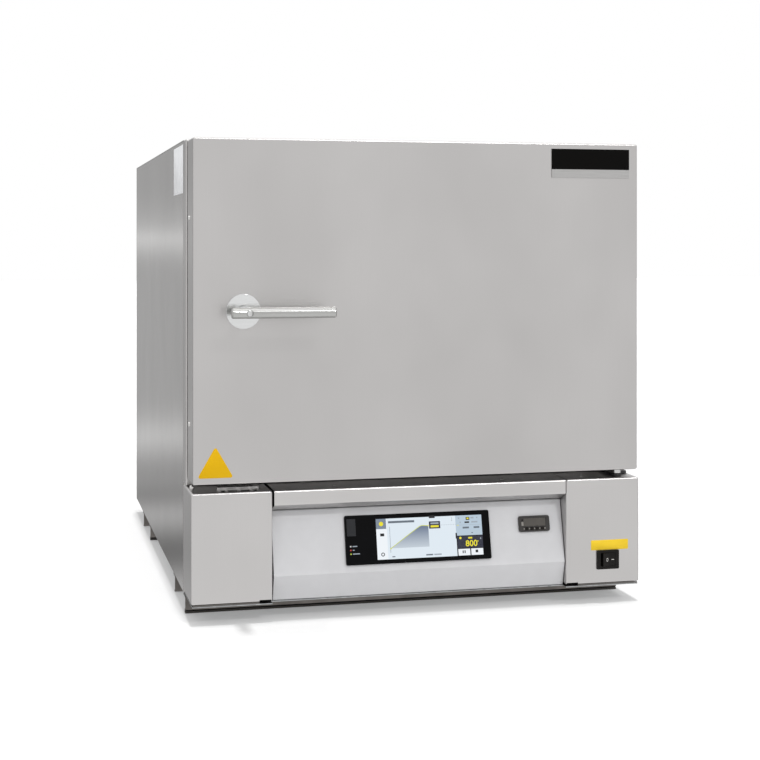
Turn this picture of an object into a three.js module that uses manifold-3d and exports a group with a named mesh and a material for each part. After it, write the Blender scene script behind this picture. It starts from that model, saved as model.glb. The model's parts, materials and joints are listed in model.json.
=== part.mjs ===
// Air circulation furnace for a laboratory bench: a stainless cabinet on four foot rails, a side-hung door
// with a tapered plug and a turning lever, and a base that holds the sloping control panel.
// Inside are the chamber with its air baffles, the fan, the heating coil, the insulation and the drive.
// Millimetres, +Z up. Within the cabinet y starts at the door's front face and z at the floor.
import * as THREE from "three";
import { mergeVertices } from "three/addons/utils/BufferGeometryUtils.js";
import Module from "manifold-3d";

const wasm = await Module();
wasm.setup();

// Cabinet sheet work
const casingWidth = 680;
const casingHeight = 669.7; // without the feet
const casingDepth = 952; // from the door's front to the rear panel
const footHeight = 25.6;
const sheet = 1.5;
const bend = 1.2; // inner radius of a bend
const foldCornerShare = 1.2; // of a bend's outer radius, at the corners of a folded front
const seat = 0.3; // gap between pieces that rest on each other
const frameFront = 72; // from the door's front to the face of the front frame
const frameReturn = 26; // depth of the front frame's sides
const flange = 15;
const casingLift = 0.9; // side and rear panels above the bottom plate
const overrun = 6; // how far a cut reaches past the piece it cuts
const dividerDrop = 2; // the divider's lower face below the insulation

// Foot rails
const railInset = 1;
const railInsetRight = 4;
const railThickness = 2;
const railFlange = 24;
const railFoot = 9; // depth of a rail's foot
const rubberHeight = 3;
const railsFromFront = [80, 222]; // the rubber one first
const railsFromBack = [303, 163];

// Base below the door
const baseHeight = 162.1;
const coverWidth = 117;
const coverGapLeft = 2.5;
const coverGapRight = 0.8;
const coverLift = 3.8; // bottom edge of a cover above the bottom plate's lower face
const cornerNotchWidth = 19;
const cornerNotchHeight = 3;
const ledgeDrop = 21.1;
const lipDepth = 22;
const lipDrop = 9.6;
const panelTopDepth = 26.1;
const panelTopHeight = 130; // above the bottom plate's lower face
const creaseDepth = 4;
const creaseHeight = 38.4;
const panelFootDepth = 14;
const panelShelf = 30; // depth of the panel's flanges at its top and foot
const ventLeft = 44.7;
const ventWidths = [6, 14, 14, 6];
const ventBar = 4; // left between two vents
const ventFront = 8; // from the front row to the cover's face
const ventBack = 8; // from the rear row to the front frame
const frontVentLength = 16;
const rearVentLength = 24;
const ventRibDepth = 27; // face of the upright rib between the rows
const ventRibThickness = 3;
const ventRibHeight = 3.6;

// Door
const doorSideGap = 2.4;
const doorTopGap = 2;
const doorBottomGap = 11.6;
const doorThickness = 62;
const plugClearance = 5;
const plugDepth = 58;
const plugTaperShare = 0.28; // how much a side of the plug leans in for its depth
const gasketThickness = 9.2;
const gasketWidth = 16;
const gasketClearance = 4;
const gasketCrownShare = 0.75; // width of the gasket's crown, of its foot's

// Hinges
const hingeFromEdge = 25.6;
const hingeFromFront = 20;
const pinRadius = 5;
const pinShoulder = 6.5;
const pinDepth = 22;
const runningGap = 0.3;
const bracketThickness = 4;
const bracketArm = 14;
const notchHeight = 8;
const notchFront = 2;
const notchMargin = 12;
const blockHeight = 28;
const blockWidth = 44;
const bracketLip = 20;
const lowBracketFront = 32;
const lowBracketReach = 24; // to the right of the pin

// Lever and latch
const leverFromEdge = 72.2;
const leverBelowMiddle = 0.8;
const roseRadius = 25;
const roseThickness = 2.5;
const leverStandoff = 57; // door front to the lever's axis
const leverRadius = 7.75;
const leverOverhang = 24.9;
const leverReach = 123.1;
const leverEdge = 1.5;
const neckRadius = 8.5;
const neckBite = 2.7; // how deep the neck sits in the tube
const spindleRadius = 6;
const screwRecess = 5;
const screwRecessDepth = 3;
const camInset = 8; // the cam's front face behind the frame's face
const camThickness = 8;
const camWidth = 14;
const camReach = 30;
const camMargin = 5;
const strikeRadius = 5;
const strikePlate = 2;

// Plate on the door
const badgeFromEdge = 13.9;
const badgeFromTop = 8.8;
const badgeWidth = 123.9;
const badgeHeight = 43.5;
const badgeThickness = 1;
const rivetRadius = 3.2;
const rivetHead = 1.2;
const rivetInset = 4.2;
const rivetDrop = 27.6;

// Chamber
const chamberWidth = 330;
const chamberHeight = 300;
const linerSheet = 1.5;
const sideInsulation = 90;
const rearInsulation = 88.2;
const driveBay = 297; // from the inner wall to the rear panel's back
const insulationHeadroom = 5.7; // under the top panel
const insulationFootroom = 16.8; // over the base's deck
const sideDuct = 22;
const baffleSheet = 1.2;
const plenumDepth = 60;
const slotRows = 4;
const slotColumns = 6;
const slotHeight = 10;
const slotLengthShare = 0.6; // of the pitch along the baffle
const inletRadius = 50;
const inletRings = 3;
const inletBar = 5;
const inletSpoke = 6;
const shelfHeight = 140; // above the chamber floor
const shelfRailWidth = 12;
const shelfInset = 4;
const shelfWire = 2.6;
const shelfBars = 11;
const shelfTravel = 22; // how far the shelf slides before it meets the door's plug
const shelfStop = 2; // left between them then
const wireRestShare = 0.9; // of the wires' thickness, so that crossing wires are welded
const shelfBackGap = 4;

// Fan and motor
const fanRadius = 84;
const fanWidth = 34;
const fanDisc = 2;
const fanBlades = 12;
const bladeThickness = 1.6;
const bladeSweep = 40; // degrees that a blade turns back between its ends
const bladeInnerRadius = 50;
const fanHub = 14;
const fanGap = 8; // between the rear baffle and the fan
const shaftRadius = 6;
const shaftPassage = 6; // room round the shaft where it goes through walls
const motorRadius = 60;
const motorLength = 130;
const motorRibs = 20;
const motorRibHeight = 5;
const motorRibShares = [0, 0.25, 0.5, 0.75]; // of the ribs' pitch, where the outline turns
const motorLid = 16;
const motorBoxHeight = 20;
const motorBore = 36;
const motorPlate = 4;
const motorPlateSize = 156;
const motorStandoff = 40;
const motorPost = 14;
const coolingRadius = 42;
const coolingThickness = 3;
const coolingHub = 12;

// Heating coil and sensors
const coilRadius = 112;
const coilRod = 4;
const coilPitch = 15;
const coilTurns = 2;
const coilLeads = 30; // how far the leads stand behind the inner wall
const sensorRadius = 3;
const sensorReach = 20;
const sensorFromWall = 37;
const sensorDrop = 16;
const sensorHead = 9;
const sensorHeadLength = 22;

// Exhaust
const ductRadius = 30;
const ductWall = 2;
const ductFromWall = 65; // from the duct's middle to the chamber's right wall
const ductBelowTop = 44;
const ductStub = 40;
const damperGap = 0.9;
const damperThickness = 1.6;
const damperInset = 18;
const damperSpindle = 3;
const damperLever = 30;
const damperLeverWidth = 7;
const damperLeverThickness = 3.2;

// Control panel instruments, measured from the crease; the shares are of the width they leave free
const glassMarginShare = 0.6152;
const limiterMarginShare = 0.1181;
const glassWidth = 221;
const glassHeight = 71.4;
const glassAboveCrease = 10.1;
const glassThickness = 3;
const glassCorner = 2.5;
const housingInset = 7;
const housingDepth = 36;
const flapLeft = 2.5; // from the glass's left edge
const flapWidth = 13.5;
const flapHeight = 24.8;
const flapAbove = 41.5; // above the glass's lower edge
const flapThickness = 1.4;
const flapCorner = 1.2;
const portMargin = 3;
const portDepth = 14;
const limiterWidth = 48.6;
const limiterHeight = 23.6;
const limiterAboveCrease = 46.4;
const limiterBezel = 3;
const limiterCorner = 3.2;
const limiterBodyInset = 1.4;
const limiterBodyDepth = 55;
const windowSide = 6;
const windowTop = 3.4;
const windowHeight = 12.2;
const windowDepth = 1.4;
const keyWidth = 5.2;
const keyHeight = 3.8;
const keyPitch = 8.2;
const keyLift = 2.6;
const keyProud = 1;
const keyTravel = 0.8;
const keyWell = 2.6;
const keyGap = 0.3;

// Power switch
const switchFromEdge = 33;
const switchAboveBase = 25;
const switchWidth = 35.4;
const switchHeight = 28.7;
const switchRim = 2.2;
const switchCorner = 1.5;
const switchBodyInset = 2;
const switchBodyDepth = 24;
const rockerWidth = 20.6;
const rockerHeight = 19.6;
const rockerGap = 1.2;
const rockerWell = 12;
const rockerPivot = 2.5; // behind the cover's face
const rockerProud = 2;
const rockerTilt = 9; // degrees each way from the middle

// Base compartment and rear
const relayWidth = 100;
const relayDepth = 90;
const relayHeight = 60;
const relayFins = 9;
const relayFin = 2;
const relayFoot = 8;
const relayAcross = 120;
const relayBack = 200;
const boardWidth = 150;
const boardDepth = 100;
const boardThickness = 1.6;
const boardLeg = 10;
const boardLegRadius = 3;
const boardAcross = -120;
const boardBack = 180;
const boardPart = 16;
const boardPartPitch = 48;
const boardPartMargin = 24;
const glandFromEdge = 90;
const glandHeight = 90;
const glandRadius = 11;
const glandNut = 16;
const glandBore = 6;
const glandLength = 24;
const glandNutLength = 7;
const rearVentCount = 9;
const rearVentWidth = 90;
const rearVentHeight = 5;
const rearVentPitch = 12;
const rearVentSpread = 190;
const rearVentLevels = [120, 380];

// Counts of sides on round work
const fineSides = 32;
const sides = 20;
const smallSides = 10;
const hexagon = 6;
const foldSteps = 3;
const coilStepsPerTurn = 24;

// Places worked out from the sizes above
const fold = sheet + bend; // outer radius of a bend
const half = casingWidth / 2;
const casingTop = footHeight + casingHeight;
const casingFoot = footHeight + sheet + casingLift;
const deckTop = footHeight + baseHeight;
const frameBack = frameFront + frameReturn;
const doorHalf = half - doorSideGap;
const doorBottom = deckTop + doorBottomGap;
const doorTop = casingTop - doorTopGap;
const doorMiddle = (doorBottom + doorTop) / 2;
const hingeX = doorHalf - hingeFromEdge;
const hingeY = hingeFromFront;
const hingeNotchFloor = doorTop - notchHeight;
const leverX = leverFromEdge - doorHalf;
const leverZ = doorMiddle - leverBelowMiddle;
const chamberHalf = chamberWidth / 2;
const ductAcross = chamberHalf - ductFromWall;
const chamberFloor = doorMiddle - chamberHeight / 2;
const chamberCeiling = chamberFloor + chamberHeight;
const chamberFront = frameFront + plugDepth - (frameFront - doorThickness) + plugClearance;
const innerWallDepth = casingDepth - driveBay;
const insulationBack = innerWallDepth - seat;
const linerBack = insulationBack - rearInsulation;
const chamberBack = linerBack - linerSheet;
const baffleFace = chamberBack - plenumDepth;
const insulationHalf = chamberHalf + linerSheet + seat + sideInsulation;
const insulationBottom = deckTop + insulationFootroom;
const insulationTop = casingTop - sheet - insulationHeadroom;
const rearFace = casingDepth - sheet;
const glandAcross = glandFromEdge - half;
const insideHalf = half - sheet - seat;
const panelLean = Math.atan((panelTopDepth - creaseDepth) / (panelTopHeight - creaseHeight));
const frontReach = leverStandoff + leverRadius;
const rearReach = casingDepth + ductStub;
const middleDepth = (rearReach - frontReach) / 2;

// Finishes
function finish(color, roughness, metalness) {
  return new THREE.MeshStandardMaterial({ color, roughness, metalness });
}

const stainless = () => finish("#bcbaba", 0.42, 0.85);
const galvanised = () => finish("#9a9c9c", 0.5, 0.8);
const blackPlastic = () => finish("#1b1c1f", 0.45, 0);
const blackSteel = () => finish("#26262a", 0.5, 0.3);
const brightSteel = () => finish("#d6d6d8", 0.22, 0.95);
const heatSteel = () => finish("#8c8680", 0.5, 0.85);
const darkGlass = () => finish("#0a0b0d", 0.08, 0);
const fibre = () => finish("#e9e6de", 0.95, 0);
const rubber = () => finish("#161616", 0.9, 0);
const castGrey = () => finish("#5d6266", 0.6, 0.4);
const board = () => finish("#2d5b3a", 0.6, 0);

// Turns a closed geometry into a solid that can be joined and cut.
function solidOf(geometry) {
  const plain = geometry.clone();
  plain.deleteAttribute("normal");
  plain.deleteAttribute("uv");
  const merged = mergeVertices(plain);
  const mesh = new wasm.Mesh({
    numProp: 3,
    vertProperties: merged.attributes.position.array,
    triVerts: new Uint32Array(merged.index.array),
  });
  return new wasm.Manifold(mesh);
}

// Turns a solid back into a geometry.
function geometryOf(solid) {
  const mesh = solid.getMesh();
  const geometry = new THREE.BufferGeometry();
  geometry.setAttribute("position", new THREE.BufferAttribute(mesh.vertProperties, 3));
  geometry.setIndex(new THREE.BufferAttribute(mesh.triVerts, 1));
  return geometry;
}

function join(first, ...others) {
  return others.reduce((whole, other) => whole.add(other), first);
}

function cut(first, ...others) {
  return others.reduce((whole, other) => whole.subtract(other), first);
}

// A block between two planes on each axis.
function block([x0, x1], [y0, y1], [z0, z1]) {
  const geometry = new THREE.BoxGeometry(x1 - x0, y1 - y0, z1 - z0);
  geometry.translate((x0 + x1) / 2, (y0 + y1) / 2, (z0 + z1) / 2);
  return solidOf(geometry);
}

// A round rod between two places on its axis, which runs along x, y or z through the centre given.
function rod(axis, radius, start, end, centre, count = sides) {
  const geometry = new THREE.CylinderGeometry(radius, radius, end - start, count);
  geometry.translate(0, (start + end) / 2, 0);
  if (axis === "x") {
    geometry.rotateZ(-Math.PI / 2);
  }
  if (axis === "z") {
    geometry.rotateX(Math.PI / 2);
  }
  const place = { x: [0, centre[0], centre[1]], y: [centre[0], 0, centre[1]], z: [...centre, 0] };
  geometry.translate(...place[axis]);
  return solidOf(geometry);
}

// Puts a flat outline into the plane named and gives it its depth along the third axis.
const planes = {
  xy: [new THREE.Vector3(1, 0, 0), new THREE.Vector3(0, 1, 0), new THREE.Vector3(0, 0, 1)],
  yz: [new THREE.Vector3(0, 1, 0), new THREE.Vector3(0, 0, 1), new THREE.Vector3(1, 0, 0)],
  zx: [new THREE.Vector3(0, 0, 1), new THREE.Vector3(1, 0, 0), new THREE.Vector3(0, 1, 0)],
};

function extrude(plane, shape, start, end, curveSegments = 3) {
  const depth = end - start;
  const geometry = new THREE.ExtrudeGeometry(shape, { depth, bevelEnabled: false, curveSegments });
  geometry.translate(0, 0, start);
  geometry.applyMatrix4(new THREE.Matrix4().makeBasis(...planes[plane]));
  return solidOf(geometry);
}

function outline(points) {
  return new THREE.Shape(points.map(([a, b]) => new THREE.Vector2(a, b)));
}

// A rectangle with round corners.
function roundedRectangle([a0, a1], [b0, b1], radius) {
  const shape = new THREE.Shape();
  const quarter = Math.PI / 2;
  shape.absarc(a1 - radius, b0 + radius, radius, -quarter, 0, false);
  shape.absarc(a1 - radius, b1 - radius, radius, 0, quarter, false);
  shape.absarc(a0 + radius, b1 - radius, radius, quarter, 2 * quarter, false);
  shape.absarc(a0 + radius, b0 + radius, radius, 2 * quarter, 3 * quarter, false);
  return shape;
}

// The outline of a bent sheet: the points are its right-hand face in the walking direction, its
// thickness lies to the left, and every corner gets the bend radius on its inner side.
function bentSheet(points, thickness, radius, steps = 3) {
  const face = [];
  const back = [];
  const left = (v) => new THREE.Vector2(-v.y, v.x);
  const at = points.map(([a, b]) => new THREE.Vector2(a, b));
  const headings = at.slice(1).map((p, i) => p.clone().sub(at[i]).normalize());
  face.push(at[0]);
  back.push(at[0].clone().addScaledVector(left(headings[0]), thickness));
  for (let i = 1; i < at.length - 1; i += 1) {
    const before = headings[i - 1];
    const after = headings[i];
    const turn = Math.atan2(before.cross(after), before.dot(after));
    const side = Math.sign(turn);
    const faceRadius = side > 0 ? radius + thickness : radius;
    const backRadius = side > 0 ? radius : radius + thickness;
    const setback = faceRadius * Math.tan(Math.abs(turn) / 2);
    const centre = at[i].clone().addScaledVector(before, -setback);
    centre.addScaledVector(left(before), side * faceRadius);
    for (let k = 0; k <= steps; k += 1) {
      const spoke = left(before).multiplyScalar(-side);
      spoke.rotateAround(new THREE.Vector2(), (turn * k) / steps);
      face.push(centre.clone().addScaledVector(spoke, faceRadius));
      back.push(centre.clone().addScaledVector(spoke, backRadius));
    }
  }
  const last = headings[headings.length - 1];
  face.push(at[at.length - 1]);
  back.push(at[at.length - 1].clone().addScaledVector(left(last), thickness));
  return new THREE.Shape([...face, ...back.reverse()]);
}

// A block whose front and back faces are two upright rectangles of different size.
function taperedBlock(front, back) {
  const corners = [front, back].flatMap(({ y, x, z }) => [
    [x[0], y, z[0]],
    [x[1], y, z[0]],
    [x[1], y, z[1]],
    [x[0], y, z[1]],
  ]);
  const faces = [
    [0, 1, 2, 0, 2, 3],
    [5, 4, 7, 5, 7, 6],
    [1, 5, 6, 1, 6, 2],
    [4, 0, 3, 4, 3, 7],
    [3, 2, 6, 3, 6, 7],
    [4, 5, 1, 4, 1, 0],
  ];
  const geometry = new THREE.BufferGeometry();
  const positions = new Float32Array(corners.flat());
  geometry.setAttribute("position", new THREE.BufferAttribute(positions, 3));
  geometry.setIndex(faces.flat());
  return solidOf(geometry);
}

// The outer form of a folded sheet: its front edges are rounded by the radius and its corners a little
// more. Rounded rectangles step outwards from the front face and then run straight to the back.
function foldedBlock([x0, x1], [y0, y1], [z0, z1], radius) {
  const rings = [];
  for (let k = 0; k <= foldSteps; k += 1) {
    const turn = ((k / foldSteps) * Math.PI) / 2;
    const inset = radius * (1 - Math.sin(turn));
    const corner = radius * foldCornerShare - inset;
    const depth = y0 + radius * (1 - Math.cos(turn));
    rings.push(ringOf([x0 + inset, x1 - inset], [z0 + inset, z1 - inset], corner, depth));
  }
  rings.push(ringOf([x0, x1], [z0, z1], radius * foldCornerShare, y1));
  return loft(rings);
}

function ringOf(x, z, corner, y) {
  const flat = roundedRectangle(x, z, corner).getPoints(foldSteps);
  const open = flat.filter((p, i) => i === 0 || p.distanceTo(flat[i - 1]) > corner / fineSides);
  return open.map((p) => [p.x, y, p.y]);
}

// Skins rings of equally many points, from the front one to the back one, and closes both ends.
function loft(rings) {
  const count = rings[0].length;
  const faces = [];
  for (let r = 0; r < rings.length - 1; r += 1) {
    for (let i = 0; i < count; i += 1) {
      const a = r * count + i;
      const b = r * count + ((i + 1) % count);
      faces.push(a, a + count, b, b, a + count, b + count);
    }
  }
  const last = (rings.length - 1) * count;
  for (let i = 1; i < count - 1; i += 1) {
    faces.push(0, i, i + 1, last, last + i + 1, last + i);
  }
  const geometry = new THREE.BufferGeometry();
  const positions = new Float32Array(rings.flat(2));
  geometry.setAttribute("position", new THREE.BufferAttribute(positions, 3));
  geometry.setIndex(faces);
  return solidOf(geometry);
}

// A body turned round the z axis from its outline of radius and height pairs.
function turned(points, count = sides) {
  const geometry = new THREE.LatheGeometry(
    points.map(([r, h]) => new THREE.Vector2(r, h)),
    count,
  );
  geometry.rotateX(Math.PI / 2);
  return solidOf(geometry);
}

const furnace = new THREE.Group();
furnace.position.y = -middleDepth;

function addTo(group, name, solid, material) {
  const mesh = new THREE.Mesh(geometryOf(solid), material);
  mesh.name = name;
  group.add(mesh);
}

const mirrored = (solid) => solid.mirror([1, 0, 0]);

// Side panels, top, rear and bottom of the cabinet
function sidePanel() {
  const edge = flange + sheet;
  const front = frameBack + seat;
  const back = rearFace - seat;
  const shape = bentSheet(
    [
      [-half + edge, front],
      [-half, front],
      [-half, back],
      [-half + edge, back],
    ].reverse(),
    sheet,
    bend,
  );
  return extrude("xy", shape, casingFoot, casingTop - sheet - seat);
}

function topPanel() {
  const foot = insideHalf - sheet;
  const top = casingTop;
  const drop = top - sheet - flange;
  const lid = block([-half, half], [frameBack + seat, rearFace - seat], [top - sheet, top]);
  const rims = [-1, 1].map((side) => {
    const x = [side * insideHalf, side * foot].sort((a, b) => a - b);
    const y = [frameBack + flange + seat, rearFace - flange - seat];
    return block(x, y, [drop, top - sheet]);
  });
  return join(lid, ...rims);
}

function rearPanel() {
  const plate = block([-half, half], [rearFace, casingDepth], [casingFoot, casingTop]);
  const cuts = [];
  for (const level of rearVentLevels) {
    for (let i = 0; i < rearVentCount; i += 1) {
      const z = level + i * rearVentPitch;
      for (const side of [-1, 1]) {
        const x = side * rearVentSpread;
        cuts.push(
          block(
            [x - rearVentWidth / 2, x + rearVentWidth / 2],
            [rearFace - overrun, casingDepth + overrun],
            [z, z + rearVentHeight],
          ),
        );
      }
    }
  }
  cuts.push(ductHole(rearFace - overrun, casingDepth + overrun));
  cuts.push(
    rod("y", glandRadius + seat, rearFace - overrun, casingDepth + overrun, [glandAcross, glandHeight]),
  );
  return cut(plate, ...cuts);
}

function bottomPlate() {
  const lip = half - coverWidth;
  const nose = sheet / 2;
  const shape = outline([
    [-insideHalf, nose],
    [-lip, nose],
    [-lip, panelFootDepth],
    [lip, panelFootDepth],
    [lip, nose],
    [insideHalf, nose],
    [insideHalf, rearFace - seat],
    [-insideHalf, rearFace - seat],
  ]);
  return extrude("xy", shape, footHeight, footHeight + sheet);
}

function footRail(depth, onRubber) {
  const top = footHeight - seat;
  const low = onRubber ? rubberHeight + seat : 0;
  const shape = bentSheet(
    [
      [depth + railFoot, low],
      [depth, low],
      [depth, top],
      [depth + railFlange, top],
    ].reverse(),
    railThickness,
    bend,
  );
  return extrude("yz", shape, -half + railInset, half - railInsetRight);
}

function footRubber(depth) {
  return block(
    [-half + railInset, half - railInsetRight],
    [depth, depth + railFoot],
    [0, rubberHeight],
  );
}

// Front frame round the chamber's mouth, with the latch window and the slot of the upper hinge
function mouth(y, wall) {
  const flare = (chamberFront - y) * plugTaperShare + wall;
  return {
    y,
    x: [-chamberHalf - flare, chamberHalf + flare],
    z: [chamberFloor - flare, chamberCeiling + flare],
  };
}

function latchWindow(y0, y1) {
  const far = camReach + camMargin;
  const near = camWidth / 2 + camMargin;
  return block([leverX - far, leverX + near], [y0, y1], [leverZ - near, leverZ + far]);
}

// Room in the insulation for the latch, its cam and its strike
function latchPocket(y0, y1) {
  const far = camReach + camMargin + seat;
  const near = camWidth / 2 + camMargin + seat;
  return block(
    [leverX - far - flange, leverX + near],
    [y0, y1],
    [leverZ - near - flange, leverZ + far],
  );
}

// Room in the insulation for the upper hinge bracket
function hingePocket(y0) {
  const arm = upperArm(seat);
  const back = frameFront + sheet + bracketThickness + 2 * seat;
  return block(arm.x, [y0, back], [arm.z[0] - bracketLip, arm.z[1]]);
}

function upperArm(grow) {
  const arm = bracketArm / 2 + grow;
  const low = hingeNotchFloor + bracketThickness / 2;
  return {
    x: [hingeX - arm, hingeX + arm],
    z: [low - grow, low + bracketThickness + grow],
  };
}

function frontFrame() {
  const low = deckTop + seat;
  const tray = cut(
    foldedBlock([-half, half], [frameFront, frameBack], [low, casingTop], fold),
    block(
      [-half + sheet, half - sheet],
      [frameFront + sheet, frameBack + overrun],
      [low + sheet, casingTop - sheet],
    ),
  );
  const arm = upperArm(seat);
  return cut(
    tray,
    taperedBlock(mouth(frameFront - overrun, 0), mouth(frameFront + sheet + overrun, 0)),
    latchWindow(frameFront - overrun, frameFront + sheet + overrun),
    block(arm.x, [frameFront - overrun, frameFront + sheet + overrun], arm.z),
  );
}

function strikeBracket() {
  const behind = frameFront + sheet + seat;
  const near = camWidth / 2 + camMargin;
  const z = leverZ - camWidth / 2 - seat - strikeRadius;
  const x = leverX - camReach + strikeRadius + camMargin;
  const far = leverX - camReach - camMargin;
  const back = frameFront + camInset + camThickness;
  const plate = block(
    [far - flange, leverX],
    [behind, behind + strikePlate],
    [leverZ - near - flange, leverZ - near + strikePlate],
  );
  const roller = rod("y", strikeRadius, behind, back, [x, z], smallSides);
  return join(plate, roller);
}

// Base: left and right covers with their cheeks, the ledge and the sloping panel
function baseCover() {
  const shell = cut(
    foldedBlock([-half, -half + coverWidth], [0, frameBack], [footHeight + coverLift, deckTop], fold),
    block(
      [-half + sheet, -half + coverWidth - sheet],
      [sheet, frameBack + overrun],
      [footHeight - overrun, deckTop - sheet],
    ),
  );
  const cornerX = -half + coverWidth;
  const notch = block(
    [cornerX - cornerNotchWidth, cornerX + overrun],
    [-overrun, sheet + seat],
    [footHeight - overrun, footHeight + coverLift + cornerNotchHeight],
  );
  const backOfCheek = block(
    [cornerX - sheet - seat, cornerX + overrun],
    [panelTopDepth + panelShelf, frameBack + overrun],
    [footHeight - overrun, deckTop - sheet - flange],
  );
  return cut(shell, notch, backOfCheek);
}

function leftCover() {
  const cuts = [];
  const rows = [
    [ventFront, ventFront + frontVentLength],
    [frameFront - ventBack - rearVentLength, frameFront - ventBack],
  ];
  const start = -half + ventLeft;
  let end = start;
  ventWidths.forEach((width) => {
    const x = end;
    rows.forEach((y) => {
      cuts.push(block([x, x + width], y, [deckTop - sheet - overrun, deckTop + overrun]));
    });
    end = x + width + ventBar;
  });
  const rib = foldedBlock(
    [start - ventBar, end],
    [ventRibDepth, ventRibDepth + ventRibThickness],
    [deckTop - sheet / 2, deckTop + ventRibHeight],
    ventRibThickness / 4,
  );
  return join(cut(baseCover(), ...cuts), rib);
}

function rightCover() {
  const z = footHeight + switchAboveBase;
  const x = half - switchFromEdge;
  const inset = switchBodyInset - seat;
  const hole = block(
    [x - switchWidth + inset, x - inset],
    [-overrun, sheet + overrun],
    [z + inset, z + switchHeight - inset],
  );
  return cut(mirrored(baseCover()), hole);
}

const centreLeft = -half + coverWidth + coverGapLeft;
const centreRight = half - coverWidth - coverGapRight;

function ledge() {
  const shape = bentSheet(
    [
      [frameBack - seat, deckTop],
      [0, deckTop],
      [0, deckTop - ledgeDrop],
      [lipDepth, deckTop - ledgeDrop - lipDrop],
    ],
    sheet,
    bend,
  );
  return extrude("yz", shape, centreLeft, centreRight);
}

function slopingPanel() {
  const top = footHeight + panelTopHeight;
  const foot = footHeight + sheet + seat;
  const shape = bentSheet(
    [
      [panelTopDepth + panelShelf, top],
      [panelTopDepth, top],
      [creaseDepth, footHeight + creaseHeight],
      [panelFootDepth, foot],
      [panelFootDepth + panelShelf, foot],
    ],
    sheet,
    bend,
  );
  const whole = extrude("yz", shape, centreLeft, centreRight);
  return cut(whole, onPanel(housingHole()), onPanel(limiterHole()));
}

// The sloping panel's own frame: x from the casing's middle, y inwards, z up the slope from the crease
const panel = new THREE.Group();
panel.position.set(0, creaseDepth, footHeight + creaseHeight);
panel.rotation.x = -panelLean;
furnace.add(panel);

function onPanel(solid) {
  const degrees = THREE.MathUtils.radToDeg(-panelLean);
  return solid.rotate([degrees, 0, 0]).translate([0, creaseDepth, footHeight + creaseHeight]);
}

const freeWidth = centreRight - centreLeft - glassWidth - limiterWidth;
const glassStart = centreLeft + freeWidth * glassMarginShare;
const glassX = [glassStart, glassStart + glassWidth];
const glassZ = [glassAboveCrease, glassAboveCrease + glassHeight];

function housingHole() {
  const inset = housingInset - seat;
  return block(
    [glassX[0] + inset, glassX[1] - inset],
    [-overrun, sheet + overrun],
    [glassZ[0] + inset, glassZ[1] - inset],
  );
}

function portCut(y0, y1) {
  const x = glassX[0] + flapLeft;
  const z = glassZ[0] + flapAbove;
  return block(
    [x + portMargin, x + flapWidth - portMargin],
    [y0, y1],
    [z + portMargin, z + flapHeight - portMargin],
  );
}

function controllerGlass() {
  const plate = extrude(
    "zx",
    roundedRectangle(glassZ, glassX, glassCorner),
    -seat - glassThickness,
    -seat,
  );
  return cut(plate, portCut(-glassThickness - overrun, overrun));
}

function controllerHousing() {
  const body = block(
    [glassX[0] + housingInset, glassX[1] - housingInset],
    [0, housingDepth],
    [glassZ[0] + housingInset, glassZ[1] - housingInset],
  );
  return cut(body, portCut(-overrun, portDepth));
}

const flapFront = -seat - glassThickness - seat - flapThickness;

function portFlap() {
  const x = glassX[0] + flapLeft;
  const z = glassZ[0] + flapAbove;
  const shape = roundedRectangle([z, z + flapHeight], [x, x + flapWidth], flapCorner);
  return extrude("zx", shape, flapFront, flapFront + flapThickness);
}

const limiterEnd = centreRight - freeWidth * limiterMarginShare;
const limiterX = [limiterEnd - limiterWidth, limiterEnd];
const limiterZ = [limiterAboveCrease, limiterAboveCrease + limiterHeight];

function limiterHole() {
  const inset = limiterBodyInset - seat;
  return block(
    [limiterX[0] + inset, limiterX[1] - inset],
    [-overrun, sheet + overrun],
    [limiterZ[0] + inset, limiterZ[1] - inset],
  );
}

function keyPlace(i, grow) {
  const middle = (limiterX[0] + limiterX[1]) / 2 + (i - (keys.length - 1) / 2) * keyPitch;
  const z = limiterZ[0] + keyLift;
  return {
    x: [middle - keyWidth / 2 - grow, middle + keyWidth / 2 + grow],
    z: [z - grow, z + keyHeight + grow],
  };
}

const keys = [0, 1, 2, 3];

function limiterBody() {
  const bezel = extrude(
    "zx",
    roundedRectangle(limiterZ, limiterX, limiterCorner),
    -seat - limiterBezel,
    -seat,
  );
  const inset = limiterBodyInset;
  const body = block(
    [limiterX[0] + inset, limiterX[1] - inset],
    [-seat - limiterBezel / 2, limiterBodyDepth],
    [limiterZ[0] + inset, limiterZ[1] - inset],
  );
  const front = -seat - limiterBezel;
  const window = block(
    [limiterX[0] + windowSide, limiterX[1] - windowSide],
    [front - overrun, front + windowDepth],
    [limiterZ[1] - windowTop - windowHeight, limiterZ[1] - windowTop],
  );
  const wells = keys.map((i) => {
    const { x, z } = keyPlace(i, keyGap);
    return block(x, [front - overrun, front + keyWell], z);
  });
  return cut(join(bezel, body), window, ...wells);
}

function limiterKey(i) {
  const front = -seat - limiterBezel;
  const { x, z } = keyPlace(i, 0);
  return block(x, [front - keyProud, front + keyWell - keyTravel - keyGap], z);
}

// Power switch on the right cover
const switchX = [half - switchFromEdge - switchWidth, half - switchFromEdge];
const switchZ = [footHeight + switchAboveBase, footHeight + switchAboveBase + switchHeight];
const rockerX = (switchX[0] + switchX[1]) / 2;
const rockerZ = (switchZ[0] + switchZ[1]) / 2;

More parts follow.
